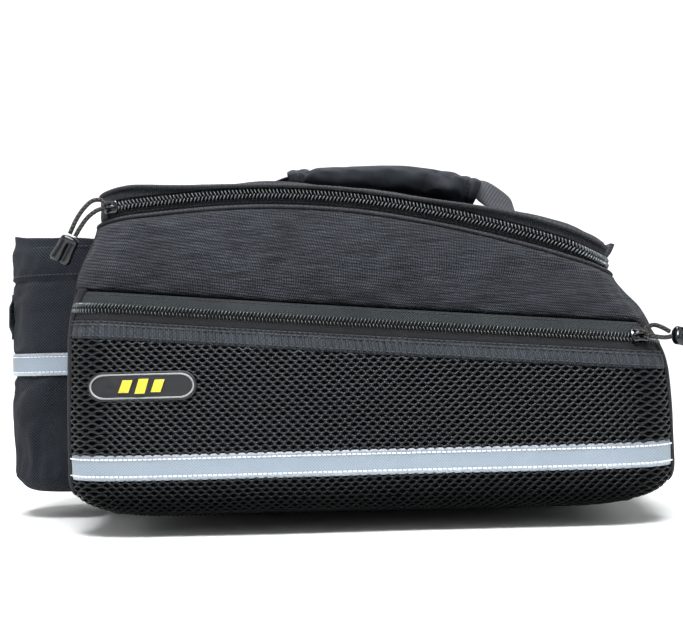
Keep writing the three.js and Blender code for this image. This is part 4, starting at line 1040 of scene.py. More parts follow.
def makeNet(s):
    length, low, top = netTables()
    around = lengthRound(pocketColumns)
    samples = np.arange(around[0] + 1.0, around[-1] - 1.0, s["pitch"] / 6)
    u = np.interp(samples, around, pocketColumns)
    column = np.interp(u, pocketColumns, np.arange(len(pocketColumns)))
    lowHere, topHere = np.interp(u, pocketColumns, low), np.interp(u, pocketColumns, top)
    slant = np.clip(((samples - samples[0]) / np.ptp(samples) - 0.4) / 0.3, 0, 1) * s["slant"]
    rings = []
    first, last = int(low.min() // s["row"]), int(top.max() // s["row"]) + 1
    for k in range(first, last):
        centre = (k + 0.5) * s["row"]
        if s["stripe"][0] < centre < s["stripe"][1]:
            continue
        phase = 2 * np.pi * (samples / s["pitch"] - (k % 2) / 2)
        drift = 0.25 * uneven(samples, centre + 0 * samples, 45, 21)
        at = centre + drift + s["swing"] * np.cos(phase) * (1 - 0.16 * np.cos(phase) ** 2)
        inside = (at > lowHere + 0.5) & (at < topHere + 2.0)
        rowAt = np.array([np.interp(a, length[int(c)], pocketRows) for a, c in zip(at, column)])
        lift = s["lift"] + s["weave"] * np.cos(2 * phase) - slant * np.sin(phase)
        lift = np.where(at > topHere - 0.6, 0.1, lift)
        points, normal = onPocket(u, rowAt, lift)
        edges = np.flatnonzero(np.diff(np.r_[0, inside.astype(int), 0]))
        for a, b in zip(edges[::2], edges[1::2]):
            if b - a < 8:
                continue
            line, out = points[a:b], normal[a:b]
            side = unit(np.cross(out, np.gradient(line, axis=0)))
            turn = turnsOf(4)
            ring = (side[:, None] * np.cos(turn)[:, None] * s["halfWide"]
                    + out[:, None] * np.sin(turn)[:, None] * s["halfHigh"])
            rings.append(line[:, None] + ring)
    return rings


def joinRings(strands):
    points, quads, caps, start = [], [], [], 0
    for rings in strands:
        rows, sides = rings.shape[:2]
        points.append(rings.reshape(-1, 3))
        quads.append(gridQuads(rows, sides, closedColumns=True, start=start))
        caps.append(list(range(start, start + sides))[::-1])
        caps.append(list(range(start + (rows - 1) * sides, start + rows * sides)))
        start += rows * sides
    return np.concatenate(points), np.concatenate(quads), caps


def addNet():
    strands = makeNet({"pitch": 5.64, "row": 2.55, "swing": 0.85, "lift": 0.95, "weave": 0.3, "slant": 0.5,
                       "halfWide": 1.0, "halfHigh": 0.62, "stripe": (1.2, 14.3)})
    points, quads, caps = joinRings(strands)
    for side, grid in (("near", points), ("far", mirror(points))):
        addPiece("net_" + side, grid, quads, plain["net"], caps=caps)
    print("net threads:", len(strands), "triangles a side:", 2 * len(quads))


addNet()


# ---- flat strips on a pocket, between two rows, each with its own lift
def pocketStrip(name, low, top, lift, material, rows=9, columns=260, edge=0.35, nodes=(), slot=None):
    u = alongPocket(columns, *pocket["strips"])
    share = np.linspace(0, 1, rows)[:, None]
    v = low + (top - low) * share
    h = lengthRound(u)[None] + 0 * v
    amount = lift(h, share) * (1 - edge * np.abs(2 * share - 1) ** 8)
    outer = onPocket(u, v, amount)[0]
    uv = clothUv(h, lengthsOf(outer[:, len(u) // 2])[:, None])
    addPair(addSkin, name, outer, material, uv=uv, inner=onPocket(u, v, 0.1)[0], nodes=nodes, slot=slot)


# puckers = short waves that die away from the band's sewn edges
def bandLift(h, share):
    pucker = np.sin(h * 2 * np.pi / 4.6 + 1.4 * np.sin(h / 23)) * (0.6 + 0.4 * np.sin(h / 17 + 1))
    fade = 0.4 + 0.6 * np.cos(np.pi * (share - 0.5))
    return 1.6 + 0.5 * pucker * fade + 0.15 * uneven(h, share * 10, 26, 31)


def steady(amount):
    return lambda h, share: amount + 0.1 * uneven(h, share * 10, 40, 17)


# binding: a soft rib of cloth over each pocket's sewn ends
def makeBindings(s):
    for name, centre in (("rear", s["rear"]), ("front", s["front"])):
        v = np.linspace(2.4, 12.0, 150)
        turn = np.linspace(0, 2 * np.pi, 17)[:-1]
        spread = s["width"] / 2 / 11.8 * np.cos(turn)
        swell = 1 + 0.1 * uneven(v * 12, 0 * v, 26, 4)[:, None]
        height = s["height"] * np.maximum(np.sin(turn), -0.15)[None] * swell
        rings = onPocket(centre + spread[None] * swell, v[:, None] + 0 * turn[None], height + 1.2)[0]
        addPair(addTube, "pocket_binding_" + name, rings, cloth["body"], uv=ringUv(rings[:, 0], 16, 16.0))


makeBindings({"rear": 2.34, "front": 14.66, "width": 7.0, "height": 1.5})
pocketStrip("reflective_stripe", row["stripeLow"], row["stripeTop"], steady(1.45), plain["reflective"],
            nodes=["side_stripe"], slot="reflective")
pocketStrip("pocket_webbing", row["bandLow"], row["tapeLow"] - 0.06, bandLift, cloth["band"], columns=420,
            nodes=["pocket_band"], slot="webbing")
pocketStrip("zip_tape_low", row["tapeLow"] + 0.06, row["chainLow"] + 0.1, steady(0.95), cloth["lowerTape"],
            nodes=["pocket_zip"], slot="zip_coil")
# the upper tape's lighter colour is partly painted light
pocketStrip("zip_tape_top", row["chainTop"] - 0.1, row["tapeTop"] + 0.5, steady(0.95), cloth["upperTape"])
# the pocket zip's bed under the teeth, near-black as painted shade between the coil bars
pocketStrip("zip_bed", row["chainLow"] - 0.2, row["chainTop"] + 0.05, steady(1.0), plain["bed"], rows=5)
pocketStrip("zip_ridge", row["tapeLow"] - 0.14, row["tapeLow"] + 0.12,
            lambda h, share: 1.9 - 6 * (share - 0.5) ** 2 + 0.1 * np.sin(h * 2.1), cloth["piping"], edge=0.1,
            columns=420, rows=6)


# badge: round-ended plate on the pocket's face; rings shrink from its edge to its middle
badge = {"centre": -137.5, "height": 81.0, "length": 66.0, "width": 18.0}


def badgeTables():
    x = onPocket(pocketColumns, row["belly"] + 0.4)[0][:, 0]
    fine = np.linspace(row["belly"] - 0.6, row["bandLow"] + 0.2, 200)
    return x, fine, onPocket(pocketColumns[:, None], fine[None, :])[0][..., 2]


badgeX, badgeRows, badgeZ = badgeTables()


def onBadge(x, z, lift):
    x, z, lift = np.broadcast_arrays(x, z, lift)
    u = np.interp(badge["centre"] + x, badgeX, pocketColumns)
    k = np.interp(u, pocketColumns, np.arange(len(pocketColumns)))
    rows = np.empty(x.shape)
    for at in np.ndindex(x.shape):
        rows[at] = np.interp(bag["base"] + badge["height"] + z[at], badgeZ[int(round(k[at]))], badgeRows)
    return onPocket(u, rows, lift)[0]


# an outline's points, scaled about the middle ring by ring with a height for each ring
def badgeShape(name, outline, rings, material, nodes=(), slot=None):
    grid = np.array([onBadge(outline[:, 0] * s, outline[:, 1] * t, lift) for s, t, lift in rings])
    addPair(addTube, name, grid, material, nodes=nodes, slot=slot, sharp=50)


def stadium(length, width, count=96):
    turn = turnsOf(count)
    c, s = np.cos(turn), np.sin(turn)
    return np.stack([np.sign(c) * (length - width) / 2 + c * width / 2, s * width / 2], -1)


def makeBadge():
    length, width = badge["length"], badge["width"]
    plate = stadium(length, width)

    def inset(by):
        return (length - 2 * by) / length, (width - 2 * by) / width

    rings = [(1, 1, 1.0), (1, 1, 2.4), (*inset(0.3), 2.75), (*inset(0.8), 2.8), (0.5, 0.5, 2.8),
             (0.05, 0.05, 2.8)]
    badgeShape("badge_plate", plate, rings, plain["rubber"], ["badge"], "badge_rubber")
    rings = [(*inset(1.9 + 0.55 * math.cos(t)), 2.9 + 0.45 * math.sin(t)) for t in turnsOf(8)]
    grid = np.array([onBadge(plate[:, 0] * a, plate[:, 1] * b, lift) for a, b, lift in rings])
    quads = gridQuads(8, len(plate), closedColumns=True, closedRows=True)
    for side, points in (("near", grid), ("far", mirror(grid))):
        addPiece("badge_outline_" + side, points, quads, plain["rubberRim"])
    for k, (x, tall) in enumerate(((-9.6, 4.6), (0.0, 5.4), (9.6, 4.6))):
        half, lean = 3.6, 1.6
        lozenge = np.array([(-half - lean, -tall), (half - lean, -tall), (half + lean, tall),
                            (lean - half, tall)])
        edges = zip(lozenge, np.roll(lozenge, -1, 0))
        fine = np.concatenate([np.linspace(a, b, 9)[:-1] for a, b in edges])
        for name, grow, low, high, material in (
                ("edge", 1.0, 2.7, 3.2, "rubber"), ("face", 0.82, 3.0, 3.7, "rubberYellow")):
            steps = [(grow, low), (grow, high - 0.15), (grow * 0.93, high), (grow * 0.05, high)]
            grid = np.array([onBadge(x + fine[:, 0] * a, fine[:, 1] * a, lift) for a, lift in steps])
            addPair(addTube, "badge_mark_%s_%d" % (name, k), grid, plain[material], sharp=40)


def pocketLine(v, lift):
    u = alongPocket(1600, *pocket["stitches"])
    line, above = onPocket(u, v, lift)[0], onPocket(u, v + 0.2, lift)[0]
    return line, unit(above - line)


# a stitch: a short bar that dips at both ends
def stitchProfile(length, radius):
    half = length / 2
    return [(-half, 0, -radius * 1.2, radius * 0.45), (-half * 0.7, 0, -radius * 0.2, radius),
            (0, 0, radius * 0.25, radius * 1.05), (half * 0.7, 0, -radius * 0.2, radius),
            (half, 0, -radius * 1.2, radius * 0.45)]


def stitchRow(line, side, pitch, length, radius):
    origins, way, across, normal = evenPlaces(line, side, pitch, 1.0)
    return barRings(origins, way, across, normal, stitchProfile(length, radius), 5)


# name, row, lift, thread, and the stitches' pitch, length and radius
for name, v, lift, material, pitch, length, radius in (
        ("stripe_stitch_top", row["stripeTop"] - 0.17, 1.62, "paleThread", 3.0, 2.7, 0.52),
        ("stripe_stitch_low", row["stripeLow"] + 0.17, 1.62, "paleThread", 3.0, 2.7, 0.56),
        ("band_stitch_top", row["tapeLow"] - 0.22, 1.95, "darkThread", 3.4, 2.6, 0.42),
        ("band_stitch_low", row["bandLow"] + 0.16, 1.95, "darkThread", 3.4, 2.6, 0.42),
        ("tape_stitch_top", row["tapeTop"] - 0.15, 1.15, "darkThread", 3.0, 2.3, 0.3)):
    line, side = pocketLine(v, lift)
    addPair(addBars, name, stitchRow(line, side, pitch, length, radius), plain[material])


# teeth: a row of slanted coil bars, and a shorter row of coil ends under it
def addPocketTeeth(s):
    line, side = pocketLine((row["chainLow"] + row["chainTop"]) / 2 - s["drop"], s["lift"])
    origins, way, across, normal = evenPlaces(line, side, s["pitch"])
    across = across * np.sign((across * side[0]).sum(-1, keepdims=True))
    lean, high, low = s["lean"], s["high"], s["low"]
    upper = [(lean * 0.8, high, -0.4, 0.42), (lean * 0.6, high * 0.8, 0.5, 0.68), (0, high * 0.45, 0.85, 0.7),
             (-lean * 0.5, high * 0.12, 0.4, 0.6), (-lean * 0.6, 0.05, -0.4, 0.4)]
    lower = [(-lean * 0.4, -0.35, -0.4, 0.4), (-lean * 0.2, -low * 0.3, 0.55, 0.66),
             (lean * 0.3, -low * 0.7, 0.75, 0.72), (lean * 0.5, -low, -0.3, 0.5)]
    addPair(addBars, "pocket_teeth", barRings(origins, way, across, normal, upper, 6), plain["coil"])
    shifted = origins + way * s["pitch"] * 0.45
    addPair(addBars, "pocket_coil_ends", barRings(shifted[:-1], way[:-1], across[:-1], normal[:-1], lower, 6),
            plain["coil"])


addPocketTeeth({"lift": 1.8, "pitch": 2.2, "lean": 0.9, "high": 3.7, "low": 3.1, "drop": 0.1})
makeBadge()
print("side pockets made")


# ---- piping round the rim and round the lid
lidZip = {"first": 2.0, "last": 37.0, "height": 10.5, "chain": 5.6, "above": 6.3, "pitch": 2.35, "step": 0.08}


def rimPipingLine(columns):
    return wall(columns, rimAt(columns) - 2.0, bag["gap"] + 0.9)


def lidPipingLine(columns):
    point = overRim(columns, lidZip["height"], bag["gap"] + 0.9)
    point[..., 0] += rearLean(columns)
    skirt = 10.0 * smoothAt(point[..., 0] / bag["halfLength"], lidTable, 1)
    point[..., 2] += np.maximum(skirt, 1.0) + 0.1
    return point


def addPiping(name, node, line, radius, material):
    columns, sides = np.linspace(0, wholeRound, 881)[:-1], 10
    points = line(columns)
    way = unit(np.roll(points, -1, 0) - np.roll(points, 1, 0))
    out = faceOut(columns)
    out = unit(out - way * (out * way).sum(-1, keepdims=True))
    up = np.cross(out, way)
    turn = turnsOf(sides)
    lumps = 1 + 0.05 * uneven(lengthRound(columns), 0 * columns, 18, 9)
    ring = out[:, None] * np.cos(turn)[:, None] + up[:, None] * np.sin(turn)[:, None]
    rings = points[:, None] + ring * (radius * lumps[:, None, None])
    uv = ringUv(points, sides, 9.0)
    addTube(name, rings, material, uv=uv, looped=True, replaces=[node], slot="piping")


addPiping("rim_cord", "rim_piping", rimPipingLine, 1.35, cloth["piping"])
addPiping("lid_cord", "lid_piping", lidPipingLine, 1.3, cloth["piping"])


# ---- lid zip from one rear corner round the nose to the other, hinge cloth behind
def rimStrip(name, low, top, out, thickness, material, first, last, rows=7, nodes=(), slot=None):
    columns = np.linspace(first, last, int((last - first) / lidZip["step"]))
    around = lengthRound(columns)[None]
    above = np.linspace(low, top, rows)[:, None]
    share = np.linspace(-1, 1, rows)[:, None]
    lift = out(around, share) if callable(out) else out + 0 * share + 0 * around
    rim = overRim(columns, 0)[None] - np.array([1.0, 0, 0]) * noseLean(columns[None], above)[..., None]
    face = faceOut(columns)[None]
    outer = rim + face * lift[..., None] + upward * above[..., None]
    inner = rim + face * (lift.min() - thickness) + upward * above[..., None]
    return addSkin(name, outer, material, inner, uv=clothUv(around, above), replaces=nodes, slot=slot)


low, top = lidZip["above"] - lidZip["chain"] / 2, lidZip["above"] + lidZip["chain"] / 2
# the lid zip's lower tape takes the lighter tape colour, partly painted light
rimStrip("lid_tape_low", 0.3, low + 0.2, -1.0, 2.0, cloth["upperTape"], lidZip["first"], lidZip["last"],
         nodes=["lid_zip"], slot="zip_coil")
rimStrip("lid_tape_top", top - 0.2, 10.2, -1.0, 2.0, cloth["lowerTape"], lidZip["first"], lidZip["last"])
# the lid zip's bed under the teeth, near-black as painted shade between the coil bars
rimStrip("lid_zip_bed", low, top, lambda h, share: 0.3 - 0.9 * np.exp(-(share / 0.12) ** 2), 2.0,
         plain["bed"], lidZip["first"], lidZip["last"], rows=9)


# two rows of slanted coil bars that meet in chevrons at the middle
def addLidTeeth(s):
    columns = np.linspace(s["first"] + 0.05, s["last"] - 0.05, 4000)
    origins, way, across, normal = evenPlaces(overRim(columns, s["above"], 0.9), upward, s["pitch"])
    across = across * np.sign(across[:, 2:3])
    normal = unit(np.cross(way, across))
    column = np.interp(np.arange(len(origins)), [0, len(origins) - 1], [s["first"], s["last"]])
    normal = normal * np.sign((normal * faceOut(column)).sum(-1, keepdims=True))
    half = s["chain"] / 2
    rings = []
    for flip in (1, -1):
        bar = [(0.7, flip * half * 0.04, -0.5, 0.45), (0.5, flip * half * 0.16, 0.5, 0.8),
               (-0.1, flip * half * 0.5, 0.95, 0.92), (-0.7, flip * half * 0.88, 0.55, 0.85),
               (-0.95, flip * half * 1.1, -0.5, 0.55)]
        shift = origins + way * (0.25 * flip * s["pitch"])
        rings.append(barRings(shift, way, across, normal, bar, 6))
    addBars("lid_teeth", np.concatenate(rings), plain["coil"])


addLidTeeth(lidZip)
rimStrip("hinge_cloth", 0.3, 10.2, lambda h, share: -0.6 + 0.7 * np.cos(np.pi * share / 2) + 0 * h, 2.4,
         cloth["lid"], lidZip["last"] - wholeRound + 0.03, lidZip["first"] - 0.03, nodes=["lid_hinge"],
         slot="lid_fabric")
for name, above in (("lid_tape_stitch", 9.4), ("rim_tape_stitch", 1.4)):
    line = overRim(np.linspace(2.1, 36.9, 3000), above, -0.85)
    addBars(name, stitchRow(line, upward, 3.0, 2.2, 0.3), plain["darkThread"])

# ---- lid: an upright skirt, then a padded crown with a sewn edge
handle = {"strap": 234.0, "centre": 16.0, "rise": 17.5, "width": 25.0, "thick": 2.0, "grip": 138.0,
          "gripWidth": 34.0, "gripThick": 13.0, "gripCentre": 0.008}
rimFront = bag["halfLength"] * smoothAt(heightShare(rimAt(np.array([13.0]))), endTable, 2)[0]
rimRear = bag["halfLength"] * smoothAt(heightShare(rimAt(np.array([4.0]))), endTable, 1)[0]
lidCentre = (rimFront - rimRear) / 2


def domeHeight(x, y):
    reach = np.where(x > lidCentre, rimFront - lidCentre + bag["noseBow"],
                     rimRear + lidCentre + bag["rearBow"])
    along = np.clip(np.abs(x - lidCentre) / reach, 0, 1)
    across = np.clip(np.abs(y) / (bag["halfWidth"] - bag["taper"]), 0, 1)
    place = x / bag["halfLength"]
    crown = 18.0 * smoothAt(place, lidTable, 2)
    seam = rimHeight(x) + lidZip["height"] + 10.0 * smoothAt(place, lidTable, 1)
    return seam + crown * (1 - across ** 2.2) * np.sqrt(1 - along ** 14)


def makeLid():
    columns = np.linspace(0, wholeRound, 353)[:-1]
    rim = overRim(columns, 0.0)
    skirt = 10.0 * smoothAt(rim[:, 0] / bag["halfLength"], lidTable, 1)
    lean, rear = noseLean(columns, lidZip["height"]), rearLean(columns)
    crown = np.sin(np.linspace(0.012, 1, 64) * np.pi / 2)
    rings, fx = [], facing(columns)[0]
    for share in crown:
        point = rim.copy()
        point[:, 0] = lidCentre + (rim[:, 0] - lidCentre) * share
        point[:, 1] = rim[:, 1] * share
        x, y = point[:, 0], point[:, 1]
        sag = 0.9 * uneven(x, y, 110, 41) + 0.3 * uneven(x, y * 1.6, 34, 43)
        seam = 0.9 * np.exp(-((1 - share) / 0.018) ** 2)
        point[:, 2] = domeHeight(x, y) + (sag - 0.8) * (1 - share ** 6) - seam
        point[:, 0] += (rear - lean) * share ** 4
        rings.append(point)
    for share in np.linspace(1, 0, 9)[1:]:
        point = wall(columns, rim[:, 2], 0.6 * np.sin(np.pi * share) * np.abs(fx))
        point[:, 0] += rear * share - lean
        point[:, 2] = rim[:, 2] + lidZip["height"] + skirt * share
        rings.append(point)
    inner = wall(columns, rim[:, 2], -3.0)
    inner[:, 0] -= lean
    inner[:, 2] = rim[:, 2] + lidZip["height"]
    rings.append(inner)
    for share in (0.9, 0.7, 0.45, 0.2, 0.05):
        point = inner.copy()
        point[:, 0] = lidCentre + (inner[:, 0] - lidCentre) * share
        point[:, 1] = inner[:, 1] * share
        point[:, 2] = domeHeight(point[:, 0], point[:, 1]) - 4.5
        rings.append(point)
    rings = np.array(rings)
    held = np.ones(rings.shape[:2])
    held[:len(crown)] = np.clip((crown - 0.9) / 0.08, 0, 1)[:, None]
    sewn = np.abs(np.abs(rings[..., 0] - handle["centre"]) - 104) < 16
    held[sewn & (np.abs(rings[..., 1]) < 15)] = 1
    held[:2] = 1
    outside = len(crown) + 4
    rings[:outside] = puff(rings[:outside], held[:outside], {
        "name": "lid", "rows": 40, "columns": 110, "flip": True, "stiff": 8.0, "bend": 0.5, "grow": 0.012,
        "pressure": 0.35, "cap": 1.3}, closed=True)
    addTube("padded_lid", rings, cloth["lid"], uv=rings[..., :2].copy(), replaces=["lid"], slot="lid_fabric",
            fill=0.6)


makeLid()
print("lid made")

# ---- bottle pocket: an open tube of cloth on the rear face, with a deep hem and a gathered foot
bottle = {"half": 42.0, "depth": 56.5, "wall": 2.0, "base": 6.7, "height": 180.0, "rise": 5.0, "hem": 26.0,
          "under": 12.0, "stripe": 87.5, "square": 0.75, "hemProud": 1.5}
bulgeTable = np.array([(0.0, 0.96), (0.25, 0.985), (0.6, 1.0), (0.85, 0.985), (1.0, 0.955)])


def rearFace(y, z):
    share = heightShare(z)
    across = np.clip(np.abs(y) / (halfWidthAt(share) - bag["corner"]), 0, 1)
    return -bag["halfLength"] * smoothAt(share, endTable, 1) - bag["rearBow"] * (1 - across ** 2) ** 1.3


# a curve out to the rear and a back that follows the tub; angle runs -90 to 90 degrees round the curve
def bottleCurve(angle, z, drawn, inward, rise=0.0):
    share = (z - bag["base"] - bottle["base"]) / (bottle["height"] - bottle["base"])
    reach = bag["halfLength"] + bag["rearBow"] + bottle["depth"] * smoothAt(share, bulgeTable)
    half = bottle["half"] - drawn - inward
    y = half * squared(np.sin(angle), bottle["square"])
    out = np.maximum(np.cos(angle), 0) ** bottle["square"]
    back = rearFace(y, z) - bag["gap"] - inward
    x = back + (drawn + inward - reach - back) * out
    return np.stack(np.broadcast_arrays(x, y, z + rise * out), -1)


# level directions away from the pocket, at each point of a curve round it
def outFrom(curve):
    way = np.gradient(curve, axis=0)
    out = unit(np.stack([-way[:, 1], way[:, 0], 0 * way[:, 0]], -1))
    return out * -np.sign(out[len(curve) // 2, 0])


def makeBottlePocket():
    count, middle = 73, 36
    angle = np.linspace(-1, 1, count) * np.pi / 2
    low, top = bag["base"] + bottle["base"], bag["base"] + bottle["height"]
    hem = top - bottle["hem"]
    length = lengthsOf(bottleCurve(angle, np.array(low + 60.0), 0, 0))
    weight = np.sin(np.linspace(0, 1, count) * np.pi) ** 0.5
    lipWave = 1.5 * uneven(length, 0 * length, 44, 57)

    def ring(z, drawn, inward, rise=0.0):
        curve = bottleCurve(angle, z, drawn, inward, rise)
        y = np.linspace(1, -1, 11)[1:-1] * (bottle["half"] - drawn - inward)
        back = np.stack(np.broadcast_arrays(rearFace(y, z) - bag["gap"] - inward, y, z), -1)
        return np.concatenate([curve, back])

    rings = []
    for turn in np.radians(np.linspace(0, 90, 12)[:-1]):
        z = low + bottle["under"] * (1 - math.cos(turn))
        rings.append(ring(z, bottle["under"] * (1 - math.sin(turn)), 0))
    for z in np.linspace(low + bottle["under"], top, 110):
        above = z - hem
        step = 1 / (1 + math.exp(-above / 0.5)) * bottle["hemProud"]
        ridge = 1.0 * math.exp(-((above - 1.2) / 0.9) ** 2) - 0.6 * math.exp(-((above + 1.4) / 1.0) ** 2)
        lipFold = 0.5 * math.exp(-((top - z) / 2.0) ** 2)
        gather = 0.9 * math.exp(-(z - low - bottle["under"]) / 14)
        folds = gather * np.sin(length * 2 * np.pi / 9.5 + np.sin(length / 13) * 1.5)
        slack = (0.9 * uneven(length, z + 0 * length, 70, 51)
                 + 0.35 * uneven(length * 1.5, z * 0.7 + 0 * length, 26, 53))
        calm = min(1.0, (z - low - bottle["under"]) / 15) * min(1.0, (top - z) / 12)
        swell = (step + ridge + lipFold + folds + (slack - 0.6) * calm) * weight
        point = ring(z, 0, 0, bottle["rise"] * max(0, above / bottle["hem"]))
        point[:count] += outFrom(point[:count]) * swell[:, None]
        point[:count, 2] += lipWave * np.clip(above / bottle["hem"], 0, 1) ** 2 * weight
        rings.append(point)
    outer = np.array(rings)
    z = outer[:, middle, 2]
    stripe = bag["base"] + bottle["stripe"]
    sewn = [np.abs(z - stripe - 7.7) < 8.6, np.abs(z - hem - 2) < 3.2, z > top - 4,
            z < low + bottle["under"] * 0.7]
    back = np.abs(np.arange(outer.shape[1]) - middle) > 31
    held = np.maximum(np.any(sewn, 0)[:, None], back[None, :]).astype(float)
    outer = puff(outer, held, {
        "name": "bottle sleeve", "rows": 60, "columns": 41, "flip": False, "stiff": 6.0, "bend": 0.3,
        "grow": 0.045, "pressure": 0.8, "cap": 2.6}, closed=True)
    rings = list(outer)
    for z in np.linspace(top, low + bottle["under"], 14):
        rings.append(ring(z, 0, bottle["wall"], bottle["rise"] * max(0, (z - hem) / bottle["hem"])))
    rings.append(ring(low + 6.0, 10.0, bottle["wall"]))
    rings.append(ring(low + bottle["wall"], 19.0, bottle["wall"]))
    rings = np.array(rings)
    girth = np.r_[length, length[-1] + np.linspace(0, 84, 11)[1:-1]]
    uv = clothUv(girth[None], lengthsOf(rings[:, middle])[:, None])
    addTube("bottle_sleeve", rings, cloth["bottle"], uv=uv, replaces=["bottle_pocket"], slot="bottle_fabric")


makeBottlePocket()


# a line round the bottle pocket at one height, lifted off it
def bottleLine(z, lift, count=900):
    angle = np.linspace(-0.98, 0.98, count) * np.pi / 2
    line = bottleCurve(angle, z + 0 * angle, 0, 0)
    return line + outFrom(line) * lift


def makeBottleTrim():
    low, wide = bag["base"] + bottle["stripe"], pocket["stripe"]
    shares = np.linspace(0, 1, 9)
    outer = np.array([bottleLine(low + wide * s, 1.6 - 0.5 * abs(2 * s - 1) ** 8, 200) for s in shares])
    inner = np.array([bottleLine(low + wide * s, 0.1, 200) for s in shares])
    uv = clothUv(lengthsOf(outer[4])[None], wide * shares[:, None])
    addSkin("bottle_reflective", outer, plain["reflective"], inner, uv=uv, replaces=["bottle_stripe"],
            slot="reflective")
    top = bag["base"] + bottle["height"]
    for name, z, lift, material in (
            ("bottle_stitch_top", low + 12.9, 1.75, "paleThread"),
            ("bottle_stitch_low", low + 2.6, 1.75, "paleThread"),
            ("hem_stitch", top - bottle["hem"] + 3.0, 1.25, "darkThread"),
            ("hem_stitch_top", top - 4.0, 1.3, "darkThread")):
        addBars(name, stitchRow(bottleLine(z, lift), upward, 3.0, 2.3, 0.33), plain[material])


makeBottleTrim()


# ---- flat webbing along a route in the plane of the bag's length and height
def addWebbing(name, route, width, thickness, material, rounding=0.35, roll=0.0, **rest):
    raised = np.cross(unit(np.gradient(route, axis=0)), sideward)
    turn = np.broadcast_to(roll, len(route))[:, None]
    across = sideward * np.cos(turn) + raised * np.sin(turn)
    up = raised * np.cos(turn) - sideward * np.sin(turn)
    half, edge = width / 2, thickness / 2
    y = np.concatenate([np.linspace(-1, 1, 15), np.linspace(1, -1, 15)])
    level = np.concatenate([np.ones(15), -np.ones(15)]) * (1 - (1 - rounding) * np.abs(y) ** 16)
    rings = (route[:, None] + across[:, None] * (y * half)[None, :, None]
             + up[:, None] * (level * edge)[None, :, None])
    uv = clothUv(lengthsOf(route)[:, None], (y * half + (level < 0) * 40)[None])
    return addTube(name, rings, material, uv=uv, **rest)


strapTable = np.array([
    (-1.0, 0), (-0.9, 0), (-0.79, 0), (-0.7, 0.1), (-0.58, 0.39), (-0.38, 0.56), (-0.19, 0.7), (0.1, 0.97),
    (0.38, 1.0), (0.59, 0.9), (0.66, 0.7), (0.73, 0.44), (0.8, 0.17), (0.86, 0.02), (0.91, 0), (1.0, 0)])


def strapPoint(along):
    x = handle["centre"] + along * handle["strap"] / 2
    rise = handle["rise"] * np.maximum(smoothAt(along, strapTable), 0)
    return np.stack([x, 0 * x, domeHeight(x, 0 * x) + bag["gap"] + handle["thick"] / 2 + rise], -1)


def makeStrap():
    along = np.linspace(-1, 1, 240)
    roll = np.radians(50) * np.exp(-((along - 0.69) / 0.13) ** 4)
    addWebbing("carry_strap", strapPoint(along), handle["width"], handle["thick"], cloth["strap"], roll=roll,
               replaces=["handle_strap"], slot="strap_webbing")


# grip: a padded sleeve round the strap, pinched by a seam near each end and fuller underneath
def makeGrip(s):
    sides, steps, long = s["sides"], s["steps"], handle["grip"]
    share = np.linspace(0, 1, steps)
    line = strapPoint(handle["gripCentre"] + (2 * share - 1) * (long / handle["strap"]))
    line = line - upward * (0.8 + 0.4 * share[:, None])
    way = unit(np.gradient(line, axis=0))
    up = np.cross(way, sideward)
    inset = np.minimum(share, 1 - share) * long
    ends = (np.interp(inset, [0, 1.2, 4, 9], [0.84, 0.94, 0.98, 1.0])
            - 0.08 * np.exp(-((inset - s["seam"]) / 1.3) ** 2))[:, None]
    turn = turnsOf(sides)
    c, q = np.cos(turn), np.sin(turn)
    down, girth = share[:, None] * long, turn[None] * 16
    lumps = 1 + 0.035 * uneven(down, girth, 46, 61) + 0.015 * uneven(down, girth, 15, 63)
    crease = 1 - 0.07 * np.exp(-((turn - np.pi / 2 * 3.0) / 0.07) ** 2)
    wide = handle["gripWidth"] / 2 * (0.4 + 0.6 * ends) * lumps
    thick = handle["gripThick"] / 2 * ends * lumps * crease
    deeper = np.where(q < 0, 1 + 0.95 * np.interp(share, [0, 0.25, 1], [0.35, 0.85, 1.6])[:, None] * ends, 1)
    outer = (line[:, None] + sideward * (wide * squared(c, 0.8))[..., None]
             + up[:, None] * (thick * deeper * squared(q, 0.8))[..., None])
    held = np.clip(1.2 - np.abs(inset - s["seam"]) / 3, 0, 1) + (inset < 2)
    outer = puff(outer, np.repeat(held[:, None], sides, 1), s, closed=True)
    inner = (line[::6, None] + sideward * (13.3 * squared(c, 0.25))[None, :, None]
             + up[::6, None] * (1.8 * squared(q, 0.25))[None, :, None])
    length = np.r_[share * long, long + np.arange(len(inner)) * 5.5]
    uv = clothUv(lengthsOf(outer[steps // 2])[None], length[:, None])
    addTube("padded_grip", np.concatenate([outer, inner[::-1]]), cloth["grip"], uv=uv, looped=True,
            replaces=["handle_grip"], slot="grip_fabric", fill=0.9)
    for k, at in enumerate((s["seam"], long - s["seam"])):
        i = int(at / long * (steps - 1))
        ring = np.concatenate([outer[i], outer[i][:1]])
        places = np.linspace(0, sides, 800)
        fine = np.stack([np.interp(places, np.arange(sides + 1), ring[:, j]) for j in range(3)], -1)
        out = unit(fine - line[i])
        stitches = stitchRow(fine + out * 0.15, way[i], 3.2, 2.4, 0.34)
        addBars("grip_stitch_%d" % k, stitches, plain["darkThread"])


makeStrap()
makeGrip({"name": "grip", "sides": 56, "steps": 150, "seam": 7.5, "rows": 75, "columns": 40, "flip": False,
          "stiff": 6.0, "bend": 0.3, "grow": 0.05, "pressure": 1.5, "cap": 1.6})


